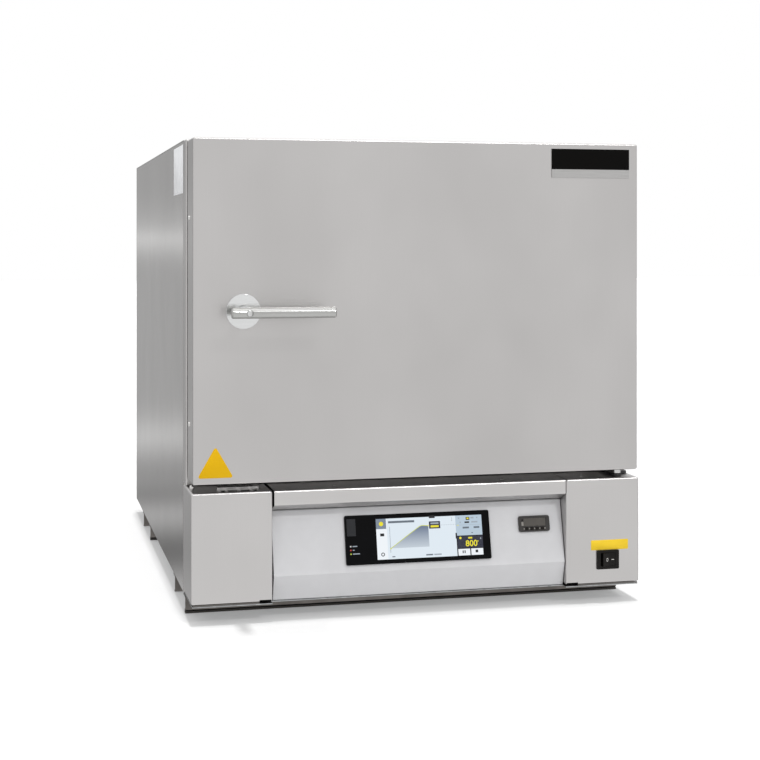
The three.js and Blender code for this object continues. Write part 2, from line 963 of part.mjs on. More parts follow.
function switchFrame() {
  const bezel = extrude(
    "zx",
    roundedRectangle(switchZ, switchX, switchCorner),
    -seat - switchRim,
    -seat,
  );
  const inset = switchBodyInset;
  const body = block(
    [switchX[0] + inset, switchX[1] - inset],
    [-seat - switchRim / 2, switchBodyDepth],
    [switchZ[0] + inset, switchZ[1] - inset],
  );
  const well = block(
    [rockerX - rockerWidth / 2 - rockerGap, rockerX + rockerWidth / 2 + rockerGap],
    [-switchRim - overrun, rockerWell],
    [rockerZ - rockerHeight / 2 - seat, rockerZ + rockerHeight / 2 + seat],
  );
  return cut(join(bezel, body), well);
}

function rocker() {
  const wing = rockerWidth / 2;
  const face = -seat - switchRim - rockerPivot;
  const lean = wing * Math.tan(THREE.MathUtils.degToRad(rockerTilt));
  const shape = outline([
    [-wing, face - rockerProud],
    [0, face - rockerProud + lean],
    [wing, face - rockerProud],
    [wing - lean, 0],
    [0, damperSpindle],
    [lean - wing, 0],
  ]);
  const body = extrude("xy", shape, -rockerHeight / 2, rockerHeight / 2);
  return body.rotate([0, 0, rockerTilt]);
}

// Chamber liner with its flared mouth, and the insulation round it
function chamberSpace(grow, back) {
  const straight = block(
    [-chamberHalf - grow, chamberHalf + grow],
    [chamberFront - seat, back],
    [chamberFloor - grow, chamberCeiling + grow],
  );
  const flare = taperedBlock(mouth(frameFront, grow), mouth(chamberFront, grow));
  return join(straight, flare);
}

function shaftHole(radius, y0, y1) {
  return rod("y", radius, y0, y1, [0, doorMiddle], sides);
}

function ductHole(y0, y1) {
  return rod("y", ductRadius + seat, y0, y1, [ductAcross, chamberCeiling - ductBelowTop]);
}

const coilEnds = [-1, 1].map((side) => [side * coilRadius, doorMiddle]);
const sensorX = chamberHalf - sensorFromWall;
const sensorPlaces = [-1, 1].map((side) => [side * sensorX, chamberCeiling - sensorDrop]);

function passages(y0, y1) {
  const shaft = shaftHole(shaftRadius + shaftPassage, y0, y1);
  const leads = coilEnds.map((at) => rod("y", coilRod + seat, y0, y1, at, smallSides));
  const sensors = sensorPlaces.map((at) => rod("y", sensorRadius + seat, y0, y1, at, smallSides));
  return join(shaft, ductHole(y0, y1), ...leads, ...sensors);
}

function chamberLiner() {
  const shell = cut(chamberSpace(linerSheet, linerBack), chamberSpace(0, chamberBack));
  const trimmed = cut(
    shell,
    block(
      [-half, half],
      [0, frameFront + sheet + seat],
      [footHeight, casingTop],
    ),
  );
  return cut(trimmed, passages(chamberBack - overrun, linerBack + overrun));
}

function insulationBox() {
  const front = frameFront + sheet + seat;
  const body = block(
    [-insulationHalf, insulationHalf],
    [front, insulationBack],
    [insulationBottom, insulationTop],
  );
  const hollow = chamberSpace(linerSheet + seat, linerBack + seat);
  const pocket = latchPocket(front - overrun, frameFront + camInset + camThickness + camMargin);
  const pockets = join(pocket, hingePocket(front - overrun));
  return cut(body, hollow, pockets, passages(linerBack - overrun, insulationBack + overrun));
}

function dividerPlate() {
  const top = insulationBottom - seat;
  return block(
    [-insideHalf, insideHalf],
    [frameBack + sheet + bend + 2 * seat, innerWallDepth + sheet / 2],
    [top - dividerDrop, top],
  );
}

function innerWall() {
  const plate = block(
    [-insideHalf, insideHalf],
    [innerWallDepth, innerWallDepth + sheet],
    [footHeight + sheet + seat, casingTop - sheet - flange - seat],
  );
  const holes = passages(innerWallDepth - overrun, innerWallDepth + sheet + overrun);
  return join(cut(plate, holes), dividerPlate());
}

// Air baffles: slotted walls beside the load and the plate with the fan's inlet behind it
const loadHalf = chamberHalf - sideDuct;

function sideBaffle() {
  const wall = chamberHalf - seat;
  const low = chamberFloor + seat;
  const high = chamberCeiling - seat;
  const shape = bentSheet(
    [
      [high, -wall],
      [high, -loadHalf],
      [low, -loadHalf],
      [low, -wall],
    ],
    baffleSheet,
    bend,
  );
  const front = chamberFront + seat;
  const length = baffleFace - seat - front;
  const body = extrude("zx", shape, front, baffleFace - seat);
  const cuts = [];
  const pitch = length / slotColumns;
  const slot = pitch * slotLengthShare;
  const step = chamberHeight / (slotRows + 1);
  for (let row = 1; row <= slotRows; row += 1) {
    for (let column = 0; column < slotColumns; column += 1) {
      const y = front + (column + 1 / 2) * pitch;
      const z = chamberFloor + row * step;
      const besideRail = Math.abs(z - chamberFloor - shelfHeight) < slotHeight + shelfRailWidth;
      if (besideRail) {
        continue;
      }
      cuts.push(
        block(
          [-loadHalf - overrun, -loadHalf + overrun],
          [y - slot / 2, y + slot / 2],
          [z - slotHeight / 2, z + slotHeight / 2],
        ),
      );
    }
  }
  return join(cut(body, ...cuts), shelfRail());
}

function rearBaffle() {
  const wide = loadHalf - seat;
  const plate = block(
    [-wide, wide],
    [baffleFace, baffleFace + baffleSheet],
    [chamberFloor + seat, chamberCeiling - seat],
  );
  const y0 = baffleFace - overrun;
  const y1 = baffleFace + baffleSheet + overrun;
  const ring = inletRadius / inletRings;
  let open = shaftHole(inletRadius, y0, y1);
  for (let i = 1; i < inletRings; i += 1) {
    const outer = shaftHole(i * ring + inletBar / 2, y0, y1);
    const inner = shaftHole(i * ring - inletBar / 2, y0, y1);
    open = cut(open, cut(outer, inner));
  }
  const spoke = inletSpoke / 2;
  const reach = inletRadius + overrun;
  const across = block([-reach, reach], [y0, y1], [doorMiddle - spoke, doorMiddle + spoke]);
  const upright = block([-spoke, spoke], [y0, y1], [doorMiddle - reach, doorMiddle + reach]);
  const sensors = sensorPlaces.map((at) => rod("y", sensorRadius + seat, y0, y1, at, smallSides));
  return cut(plate, cut(open, across, upright), ...sensors);
}

const shelfTop = chamberFloor + shelfHeight;

function shelfRail() {
  const wall = -loadHalf - baffleSheet / 2;
  const shape = bentSheet(
    [
      [shelfTop - shelfRailWidth, wall],
      [shelfTop, wall],
      [shelfTop, wall + shelfRailWidth],
    ],
    baffleSheet,
    bend,
  );
  return extrude("zx", shape, chamberFront + shelfRailWidth, baffleFace - seat);
}

function shelfGrid() {
  const wide = loadHalf - baffleSheet - shelfInset;
  const front = chamberFront + shelfTravel + shelfStop;
  const back = baffleFace - shelfBackGap;
  const lower = shelfTop + seat + shelfWire;
  const upper = lower + 2 * shelfWire * wireRestShare;
  const bars = [];
  for (const y of [front + shelfWire, back - shelfWire]) {
    bars.push(rod("x", shelfWire, -wide, wide, [y, lower], hexagon));
  }
  for (let i = 0; i < shelfBars; i += 1) {
    const x = -wide + shelfWire + (i * 2 * (wide - shelfWire)) / (shelfBars - 1);
    bars.push(rod("y", shelfWire, front, back, [x, upper], hexagon));
  }
  return join(...bars);
}

// Fan wheel in its own frame: its axis is z, which points forward once it is placed
function bladeOutline() {
  const steps = 5;
  const sweep = THREE.MathUtils.degToRad(bladeSweep);
  const rim = fanRadius;
  const ends = [0, 1].map((side) => {
    const edge = [];
    for (let k = 0; k <= steps; k += 1) {
      const share = k / steps;
      const radius = bladeInnerRadius + (rim - bladeInnerRadius) * share;
      const bent = -sweep * share ** 2 * (bladeInnerRadius / rim);
      const angle = bent + (side * bladeThickness) / radius;
      edge.push([radius * Math.cos(angle), radius * Math.sin(angle)]);
    }
    return edge;
  });
  return outline([...ends[0], ...ends[1].reverse()]);
}

function fanWheel() {
  const disc = turned([
    [0, 0],
    [fanRadius, 0],
    [fanRadius, fanDisc],
    [fanHub, fanDisc],
    [fanHub, fanWidth / 2],
    [0, fanWidth / 2],
  ], fineSides);
  const bore = rod("z", shaftRadius + seat, -overrun, fanWidth, [0, 0]);
  const shroud = turned([
    [bladeInnerRadius, fanWidth - fanDisc],
    [fanRadius, fanWidth - fanDisc],
    [fanRadius, fanWidth],
    [bladeInnerRadius, fanWidth],
    [bladeInnerRadius, fanWidth - fanDisc],
  ], fineSides);
  const shape = bladeOutline();
  const blades = [];
  for (let i = 0; i < fanBlades; i += 1) {
    const blade = extrude("xy", shape, fanDisc / 2, fanWidth - fanDisc / 2);
    blades.push(blade.rotate([0, 0, (i * 360) / fanBlades]));
  }
  return cut(join(disc, shroud, ...blades), bore);
}

const motorFace = innerWallDepth + sheet + motorStandoff;
const fanBack = baffleFace + baffleSheet + fanGap + fanWidth;

// The shaft with its cooling disc, with z forward and 0 at the fan wheel's back
function fanShaft() {
  const tail = fanBack - motorFace - motorBore + runningGap;
  return join(rod("z", shaftRadius, tail, fanWidth / 2, [0, 0]), coolingDisc());
}

function coolingDisc() {
  const face = fanBack - innerWallDepth - sheet - motorStandoff / 2;
  return turned([
    [0, face],
    [coolingRadius, face],
    [coolingRadius, face + coolingThickness],
    [coolingHub, face + coolingThickness],
    [coolingHub, face + 2 * coolingThickness],
    [0, face + 2 * coolingThickness],
  ]);
}

function motorBracket() {
  const size = motorPlateSize / 2;
  const face = motorFace - motorPlate - seat;
  const wall = innerWallDepth + sheet + seat;
  const upright = [doorMiddle - size, doorMiddle + size];
  const plate = block([-size, size], [face, face + motorPlate], upright);
  const posts = [];
  for (const a of [-1, 1]) {
    for (const b of [-1, 1]) {
      const x = a * (size - motorPost);
      const z = doorMiddle + b * (size - motorPost);
      const reach = motorPost / 2;
      posts.push(block([x - reach, x + reach], [wall, face + seat], [z - reach, z + reach]));
    }
  }
  const hole = shaftHole(shaftRadius + shaftPassage, face - overrun, face + motorPlate + overrun);
  return cut(join(plate, ...posts), hole);
}

function motorRibOutline(inner) {
  const points = [];
  const radii = [inner, motorRadius, motorRadius, inner];
  for (let i = 0; i < motorRibs; i += 1) {
    motorRibShares.forEach((share, corner) => {
      const angle = ((i + share) * 2 * Math.PI) / motorRibs;
      const radius = radii[corner];
      points.push([doorMiddle + radius * Math.sin(angle), radius * Math.cos(angle)]);
    });
  }
  return outline(points);
}

function fanMotor() {
  const inner = motorRadius - motorRibHeight;
  const end = motorFace + motorLength;
  const ribs = extrude("zx", motorRibOutline(inner), motorFace + motorLid, end - motorLid);
  const front = shaftHole(motorRadius, motorFace, motorFace + motorLid + seat);
  const back = shaftHole(motorRadius, end - motorLid - seat, end);
  const box = block(
    [-inner / 2, inner / 2],
    [motorFace + 2 * motorLid, end - 2 * motorLid],
    [doorMiddle + inner / 2, doorMiddle + motorRadius + motorBoxHeight],
  );
  const bore = shaftHole(shaftRadius + runningGap, motorFace - overrun, motorFace + motorBore);
  return cut(join(ribs, front, back, box), bore);
}

// Heating coil round the fan wheel, with both leads running back through the wall
class Helix extends THREE.Curve {
  getPoint(t, target = new THREE.Vector3()) {
    const angle = Math.PI + t * Math.PI * 2 * (coilTurns - 1 / 2);
    const y = coilFront + t * coilPitch * (coilTurns - 1 / 2);
    return target.set(coilRadius * Math.cos(angle), y, doorMiddle + coilRadius * Math.sin(angle));
  }
}

const coilFront = baffleFace + baffleSheet + fanGap + coilRod;

function heatingCoil() {
  const section = new THREE.Shape();
  section.absarc(0, 0, coilRod, 0, 2 * Math.PI, false);
  const geometry = new THREE.ExtrudeGeometry(section, {
    steps: coilStepsPerTurn * (coilTurns - 1 / 2),
    curveSegments: smallSides / 2, // a round outline takes two sides for each
    extrudePath: new Helix(),
    bevelEnabled: false,
  });
  const back = innerWallDepth + sheet + coilLeads;
  const left = rod("y", coilRod, coilFront - coilRod / 2, back, coilEnds[0], smallSides);
  const coilBack = coilFront + coilPitch * (coilTurns - 1 / 2);
  const right = rod("y", coilRod, coilBack - coilRod / 2, back, coilEnds[1], smallSides);
  return join(solidOf(geometry), left, right);
}

function sensor(at) {
  const back = innerWallDepth + sheet + seat;
  const end = back + sensorHeadLength;
  const stem = rod("y", sensorRadius, baffleFace - sensorReach, end, at, smallSides);
  const head = rod("y", sensorHead, back, end, at, smallSides);
  return join(stem, head);
}

// Exhaust duct and its damper
const ductZ = chamberCeiling - ductBelowTop;
const ductInner = ductRadius - ductWall;
const damperY = rearReach - damperInset;

function exhaustDuct() {
  const front = linerBack + seat;
  const at = [ductAcross, ductZ];
  const outer = rod("y", ductRadius, front, rearReach, at);
  const inner = rod("y", ductInner, front - overrun, rearReach + overrun, at);
  const across = rod(
    "x",
    damperSpindle + runningGap,
    ductAcross - ductRadius - overrun,
    ductAcross + ductRadius + overrun,
    [damperY, ductZ],
    smallSides,
  );
  return cut(outer, inner, across);
}

// The damper in its own frame: its spindle lies on x
function damperFlap() {
  const disc = rod("y", ductInner - damperGap, -damperThickness / 2, damperThickness / 2, [0, 0]);
  const left = -ductRadius - damperSpindle;
  const right = ductRadius + damperLeverWidth;
  const spindle = rod("x", damperSpindle, left, right, [0, 0], smallSides);
  const lever = block(
    [right - damperLeverThickness, right],
    [-damperLeverWidth / 2, damperLeverWidth / 2],
    [-damperLeverWidth / 2, damperLever],
  );
  return join(disc, spindle, lever);
}

// Door: outer tray, insulation, inner pan with the tapered plug, gasket and the hinge blocks
const blockX = [hingeX - blockWidth / 2, doorHalf - sheet - seat];
const blockY = [sheet + seat, doorThickness - sheet - 2 * seat];

function hingeNotch(grow) {
  return block(
    [hingeX - notchMargin - grow, doorHalf + overrun],
    [notchFront - grow, doorThickness + overrun],
    [hingeNotchFloor - grow, doorTop + overrun],
  );
}

function leverHole(radius, y0, y1) {
  return rod("y", radius, y0, y1, [leverX, leverZ]);
}

function doorSkin() {
  const tray = cut(
    foldedBlock([-doorHalf, doorHalf], [0, doorThickness], [doorBottom, doorTop], fold),
    block(
      [-doorHalf + sheet, doorHalf - sheet],
      [sheet, doorThickness + overrun],
      [doorBottom + sheet, doorTop - sheet],
    ),
  );
  const pinHole = rod(
    "z",
    pinShoulder + runningGap,
    doorBottom - overrun,
    doorBottom + sheet + overrun,
    [hingeX, hingeY],
  );
  const spindle = leverHole(spindleRadius + runningGap, -overrun, sheet + overrun);
  return cut(tray, hingeNotch(0), pinHole, spindle);
}

function hingeBlock(z0, z1) {
  const body = block(blockX, blockY, [z0, z1]);
  return cut(body, rod("z", pinRadius + runningGap, z0 - overrun, z1 + overrun, [hingeX, hingeY]));
}

const lowBlockZ = [doorBottom + sheet + seat, doorBottom + sheet + seat + blockHeight];
const topBlockZ = [hingeNotchFloor - blockHeight, hingeNotchFloor - seat];

// Plug of the door, tapered like the chamber's mouth so that it swings clear of it
function plug(y0, y1, inset) {
  const wall = -plugClearance - inset;
  return taperedBlock(mouth(y0, wall), mouth(y1, wall));
}

const plugTip = doorThickness + plugDepth;

function doorPan() {
  const inner = doorHalf - sheet - seat;
  const plate = block(
    [-inner, inner],
    [doorThickness - sheet, doorThickness],
    [doorBottom + sheet + seat, doorTop - sheet - seat],
  );
  const outer = plug(doorThickness - seat, plugTip, 0);
  const hollow = plug(doorThickness - sheet - overrun, plugTip - linerSheet, linerSheet);
  return cut(
    join(plate, outer),
    hollow,
    hingeNotch(seat),
    leverHole(spindleRadius + runningGap, doorThickness - overrun, doorThickness + overrun),
  );
}

function doorInsulation() {
  const inner = doorHalf - sheet - seat;
  const body = block(
    [-inner, inner],
    [sheet + seat, doorThickness - sheet - seat],
    [doorBottom + sheet + seat, doorTop - sheet - seat],
  );
  const core = plug(doorThickness - sheet - 2 * seat, plugTip - linerSheet - seat, linerSheet + seat);
  const room = (z) =>
    block(
      [blockX[0] - seat, doorHalf],
      [0, doorThickness],
      [z[0] - seat, z[1] + seat],
    );
  return cut(
    join(body, core),
    room(lowBlockZ),
    room([topBlockZ[0], doorTop]),
    leverHole(spindleRadius + shaftPassage / 2, -overrun, doorThickness + overrun),
  );
}

function doorGasket() {
  const front = doorThickness + seat;
  const middle = front + gasketThickness / 2;
  const back = front + gasketThickness;
  const ring = (width, y0, y1) => {
    const size = mouth(doorThickness, gasketClearance - plugClearance + width);
    return block(size.x, [y0, y1], size.z);
  };
  const foot = ring(gasketWidth, front, middle);
  const crown = ring(gasketWidth * gasketCrownShare, middle - seat, back);
  return cut(join(foot, crown), ring(0, front - overrun, back + overrun));
}

// Hinge brackets on the cabinet and their pins
function lowerBracket() {
  const low = deckTop + seat;
  const arm = bracketArm / 2;
  const back = frameFront - seat;
  const right = hingeX + lowBracketReach;
  const shape = new THREE.Shape();
  shape.moveTo(right, back);
  shape.lineTo(hingeX - arm, back);
  shape.lineTo(hingeX - arm, hingeY);
  shape.absarc(hingeX, hingeY, arm, Math.PI, 2 * Math.PI, false);
  shape.lineTo(hingeX + arm, lowBracketFront);
  shape.lineTo(right, lowBracketFront + arm);
  const plate = extrude("xy", shape, low, low + bracketThickness, 6);
  return cut(plate, rod("z", pinRadius + seat, low - overrun, low + overrun, [hingeX, hingeY]));
}

function lowerPin() {
  const low = deckTop + seat;
  const shoulder = low + bracketThickness + seat;
  const pin = turned([
    [0, low],
    [pinRadius, low],
    [pinRadius, shoulder],
    [pinShoulder, shoulder],
    [pinShoulder, lowBlockZ[0] - seat],
    [pinRadius, lowBlockZ[0] - seat],
    [pinRadius, lowBlockZ[0] + pinDepth],
    [0, lowBlockZ[0] + pinDepth],
  ]);
  return pin.translate([hingeX, hingeY, 0]);
}

function upperBracket() {
  const arm = upperArm(0);
  const behind = frameFront + sheet + seat;
  const shape = new THREE.Shape();
  shape.moveTo(arm.x[1], behind + bracketThickness);
  shape.lineTo(arm.x[0], behind + bracketThickness);
  shape.lineTo(arm.x[0], hingeY);
  shape.absarc(hingeX, hingeY, bracketArm / 2, Math.PI, 2 * Math.PI, false);
  const plate = extrude("xy", shape, ...arm.z, 6);
  const lip = block(arm.x, [behind, behind + bracketThickness], [arm.z[0] - bracketLip, arm.z[1]]);
  const pin = rod("z", pinRadius, topBlockZ[1] - pinDepth, arm.z[1], [hingeX, hingeY]);
  return join(plate, lip, pin);
}

// Lever in its own frame: its axis is y and passes through the origin
const lever = new THREE.Group();
lever.position.set(leverX, 0, leverZ);

const neckEnd = -leverStandoff + leverRadius - neckBite;

function leverRose() {
  const hole = leverHole(neckRadius + runningGap, -roseThickness - overrun, overrun);
  return cut(leverDisc(), hole);
}

function leverDisc() {
  return rod("y", roseRadius, -roseThickness - seat, -seat, [leverX, leverZ], fineSides);
}

function leverTube() {
  const bar = turned(
    [
      [0, -leverOverhang],
      [leverRadius - leverEdge, -leverOverhang],
      [leverRadius, -leverOverhang + leverEdge],
      [leverRadius, leverReach - leverEdge],
      [leverRadius - leverEdge, leverReach],
      [0, leverReach],
    ],
    fineSides,
  );
  const lying = bar.rotate([0, 90, 0]).translate([0, -leverStandoff, 0]);
  const recess = rod(
    "y",
    screwRecess,
    -leverStandoff - leverRadius - overrun,
    -leverStandoff - leverRadius + screwRecessDepth,
    [0, 0],
    smallSides,
  );
  const seatForNeck = rod("y", neckRadius + seat, neckEnd - seat, 0, [0, 0]);
  return cut(lying, recess, seatForNeck);
}

function leverSpindle() {
  const end = frameFront + camInset + camThickness;
  const neck = rod("y", neckRadius, neckEnd, -2 * seat, [0, 0]);
  const shaft = rod("y", spindleRadius, -3 * seat, end, [0, 0]);
  return join(neck, shaft);
}

function latchCam() {
  const y0 = frameFront + camInset;
  const y1 = y0 + camThickness;
  const bar = block([-camReach, 0], [y0, y1], [-camWidth / 2, camWidth / 2]);
  const boss = rod("y", camWidth / 2, y0, y1, [0, 0]);
  return cut(join(bar, boss), rod("y", spindleRadius + seat, y0 - overrun, y1 + overrun, [0, 0]));
}

function badgePlate() {
  const right = doorHalf - badgeFromEdge;
  const left = right - badgeWidth;
  const top = doorTop - badgeFromTop;
  const face = -seat - badgeThickness;
  const plate = block([left, right], [face, -seat], [top - badgeHeight, top]);
  const rivets = [left + rivetInset, right - rivetInset].map((x) =>
    rod("y", rivetRadius, face - rivetHead, -seat, [x, top - rivetDrop]),
  );
  return join(plate, ...rivets);
}

// Electrical pieces on the bottom plate, and the cable entry at the back
const floorTop = footHeight + sheet;

function relayHeatsink() {
  const low = floorTop + seat;
  const x = [relayAcross - relayWidth / 2, relayAcross + relayWidth / 2];
  const y = [relayBack, relayBack + relayDepth];
  const foot = block(x, y, [low, low + relayFoot]);
  const fins = [];
  for (let i = 0; i < relayFins; i += 1) {
    const at = x[0] + (i * (relayWidth - relayFin)) / (relayFins - 1);
    fins.push(block([at, at + relayFin], y, [low, low + relayHeight]));
  }
  return join(foot, ...fins);
}

function controlBoard() {
  const low = floorTop + seat;
  const deck = low + boardLeg;
  const x = [boardAcross - boardWidth / 2, boardAcross + boardWidth / 2];
  const y = [boardBack, boardBack + boardDepth];
  const plate = block(x, y, [deck, deck + boardThickness]);
  const legs = [];
  for (const a of x) {
    for (const b of y) {
      const px = a + Math.sign(boardAcross - a) * boardLegRadius * 2;
      const py = b + Math.sign(boardBack + boardDepth / 2 - b) * boardLegRadius * 2;
      legs.push(rod("z", boardLegRadius, low, deck + seat, [px, py], smallSides));
    }
  }
  const parts = [0, 1, 2].map((n) => {
    const at = x[0] + boardPartMargin + n * boardPartPitch;
    const front = y[0] + boardPart;
    return block([at, at + boardPart], [front, front + boardPart], [deck, deck + boardPart]);
  });
  return join(plate, ...legs, ...parts);
}

function cableGland() {
  const start = rearFace - glandNutLength;
  const end = casingDepth + glandLength;
  const at = [glandAcross, glandHeight];
  const tube = rod("y", glandRadius, start, end, at);
  const seatFace = casingDepth + seat;
  const nut = rod("y", glandNut, seatFace, seatFace + glandNutLength, at, hexagon);
  const inside = rod("y", glandNut, start, rearFace - seat, at, hexagon);
  return cut(join(tube, nut, inside), rod("y", glandBore, start - overrun, end + overrun, at));
}

function mirrorPair(name, solid, material) {
  addTo(furnace, name + "_left", solid, material());
  addTo(furnace, name + "_right", mirrored(solid), material());
}

// Assembly
mirrorPair("side_panel", sidePanel(), stainless);
addTo(furnace, "top_panel", topPanel(), stainless());
addTo(furnace, "rear_panel", rearPanel(), stainless());
addTo(furnace, "bottom_plate", bottomPlate(), galvanised());
const [rubberRails, plainRails] = [0, 1].map((i) => [railsFromFront[i], casingDepth - railsFromBack[i]]);
rubberRails.forEach((depth, i) => {
  addTo(furnace, "foot_rail_rubber_" + (i + 1), footRail(depth, true), galvanised());
  addTo(furnace, "foot_strip_" + (i + 1), footRubber(depth), rubber());
});
plainRails.forEach((depth, i) => {
  addTo(furnace, "foot_rail_plain_" + (i + 1), footRail(depth, false), galvanised());
});
addTo(furnace, "front_frame", frontFrame(), stainless());
addTo(furnace, "strike_bracket", strikeBracket(), blackSteel());
addTo(furnace, "base_cover_left", leftCover(), stainless());
addTo(furnace, "base_cover_right", rightCover(), stainless());
addTo(furnace, "base_ledge", ledge(), stainless());
addTo(furnace, "control_panel", slopingPanel(), stainless());
addTo(panel, "controller_glass", controllerGlass(), darkGlass());
addTo(panel, "controller_housing", controllerHousing(), blackPlastic());
addTo(panel, "port_flap", portFlap(), blackPlastic());
addTo(panel, "limiter_body", limiterBody(), blackPlastic());
keys.forEach((i) => addTo(panel, "limiter_key_" + (i + 1), limiterKey(i), blackPlastic()));
addTo(furnace, "switch_frame", switchFrame(), blackPlastic());

const rockerGroup = new THREE.Group();
rockerGroup.position.set(rockerX, rockerPivot, rockerZ);
furnace.add(rockerGroup);
addTo(rockerGroup, "switch_rocker", rocker(), blackPlastic());

addTo(furnace, "chamber_liner", chamberLiner(), heatSteel());
addTo(furnace, "insulation_box", insulationBox(), fibre());
addTo(furnace, "inner_wall", innerWall(), galvanised());
mirrorPair("side_baffle", sideBaffle(), heatSteel);
addTo(furnace, "rear_baffle", rearBaffle(), heatSteel());
addTo(furnace, "shelf_grid", shelfGrid(), heatSteel());

const fan = new THREE.Group();
fan.position.set(0, fanBack, doorMiddle);
fan.rotation.x = Math.PI / 2;
furnace.add(fan);
addTo(fan, "fan_wheel", fanWheel(), heatSteel());
addTo(fan, "fan_shaft", fanShaft(), brightSteel());
addTo(furnace, "motor_bracket", motorBracket(), galvanised());
addTo(furnace, "fan_motor", fanMotor(), castGrey());
addTo(furnace, "heating_coil", heatingCoil(), heatSteel());
addTo(furnace, "control_sensor", sensor(sensorPlaces[0]), brightSteel());
addTo(furnace, "limiter_sensor", sensor(sensorPlaces[1]), brightSteel());
addTo(furnace, "exhaust_duct", exhaustDuct(), stainless());

const damper = new THREE.Group();
damper.position.set(ductAcross, damperY, ductZ);
furnace.add(damper);
addTo(damper, "exhaust_damper", damperFlap(), galvanised());

const door = new THREE.Group();
furnace.add(door);
addTo(door, "door_skin", doorSkin(), stainless());
addTo(door, "door_insulation", doorInsulation(), fibre());
addTo(door, "door_pan", doorPan(), heatSteel());
addTo(door, "door_gasket", doorGasket(), fibre());
addTo(door, "hinge_block_lower", hingeBlock(...lowBlockZ), galvanised());
addTo(door, "hinge_block_upper", hingeBlock(...topBlockZ), galvanised());
addTo(door, "lever_rose", leverRose(), brightSteel());
addTo(door, "badge_plate", badgePlate(), blackPlastic());
addTo(furnace, "hinge_bracket_lower", lowerBracket(), blackSteel());
addTo(furnace, "hinge_pin_lower", lowerPin(), brightSteel());
addTo(furnace, "hinge_bracket_upper", upperBracket(), blackSteel());

door.add(lever);
addTo(lever, "lever_tube", leverTube(), brightSteel());
addTo(lever, "lever_spindle", leverSpindle(), brightSteel());
addTo(lever, "latch_cam", latchCam(), blackSteel());

addTo(furnace, "relay_heatsink", relayHeatsink(), finish("#a9abad", 0.5, 0.8));
addTo(furnace, "control_board", controlBoard(), board());
addTo(furnace, "cable_gland", cableGland(), blackPlastic());

export default furnace;
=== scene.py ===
import bpy
import bmesh
import json
import math
import numpy as np
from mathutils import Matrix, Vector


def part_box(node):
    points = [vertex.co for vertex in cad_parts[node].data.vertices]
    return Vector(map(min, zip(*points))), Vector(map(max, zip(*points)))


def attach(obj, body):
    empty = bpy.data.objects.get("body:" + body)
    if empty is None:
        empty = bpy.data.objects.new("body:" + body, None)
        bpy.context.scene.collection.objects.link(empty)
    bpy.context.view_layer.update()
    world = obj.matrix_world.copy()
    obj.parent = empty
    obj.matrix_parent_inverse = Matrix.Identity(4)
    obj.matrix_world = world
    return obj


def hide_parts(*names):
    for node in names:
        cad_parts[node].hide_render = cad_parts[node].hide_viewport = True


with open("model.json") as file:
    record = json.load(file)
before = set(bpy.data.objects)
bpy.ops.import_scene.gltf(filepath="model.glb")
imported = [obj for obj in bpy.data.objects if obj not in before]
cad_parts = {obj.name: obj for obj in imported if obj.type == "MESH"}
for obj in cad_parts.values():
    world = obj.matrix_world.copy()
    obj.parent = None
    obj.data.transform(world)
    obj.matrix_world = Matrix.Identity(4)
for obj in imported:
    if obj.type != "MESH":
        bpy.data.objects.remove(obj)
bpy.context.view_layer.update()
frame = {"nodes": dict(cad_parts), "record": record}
nodes = frame["nodes"]
scene = bpy.context.scene
mm = 0.001
print("frame loaded:", len(nodes), "nodes")


# An sRGB hex value as linear red, green, blue and alpha.
def linear(hexColour):
    value = np.array([int(hexColour[i:i + 2], 16) for i in (1, 3, 5)]) / 255
    value = np.where(value <= 0.04045, value / 12.92, ((value + 0.055) / 1.055) ** 2.4)
    return (*map(float, value), 1.0)


# Adds a node and gives back one of its outputs. Each value is another node's output, an sRGB hex colour or a
# plain setting, for the socket or the property that its key names.
def addNode(tree, kind, values=None, give=0):
    node = tree.nodes.new(kind)
    for key, value in (values or {}).items():
        if isinstance(value, bpy.types.NodeSocket):
            tree.links.new(value, node.inputs[key])
        elif isinstance(key, int) or key in node.inputs:
            node.inputs[key].default_value = linear(value) if isinstance(value, str) else value
        else:
            setattr(node, key, value)
    return node.outputs[give] if node.outputs else None


def newObject(name, data):
    thing = bpy.data.objects.new(name, data)
    scene.collection.objects.link(thing)
    return thing


def newMaterial(name):
    material = bpy.data.materials.new(name)
    material.use_nodes = True
    material.node_tree.nodes.clear()
    return material, material.node_tree


# Object coordinates scaled so that one unit is the size given, in millimetres, for all axes or for each.
def patternSpace(tree, size):
    place = addNode(tree, "ShaderNodeTexCoord", give="Object")
    return addNode(tree, "ShaderNodeMapping", {"Vector": place, "Scale": 1 / (np.full(3, size) * mm)})


# A noise whose grains have the size of its space, and the range that most of its values lie in
fineNoise = {"Scale": 1.0, "Detail": 2.0, "Roughness": 0.55}
midRange = {"From Min": 0.3, "From Max": 0.7}


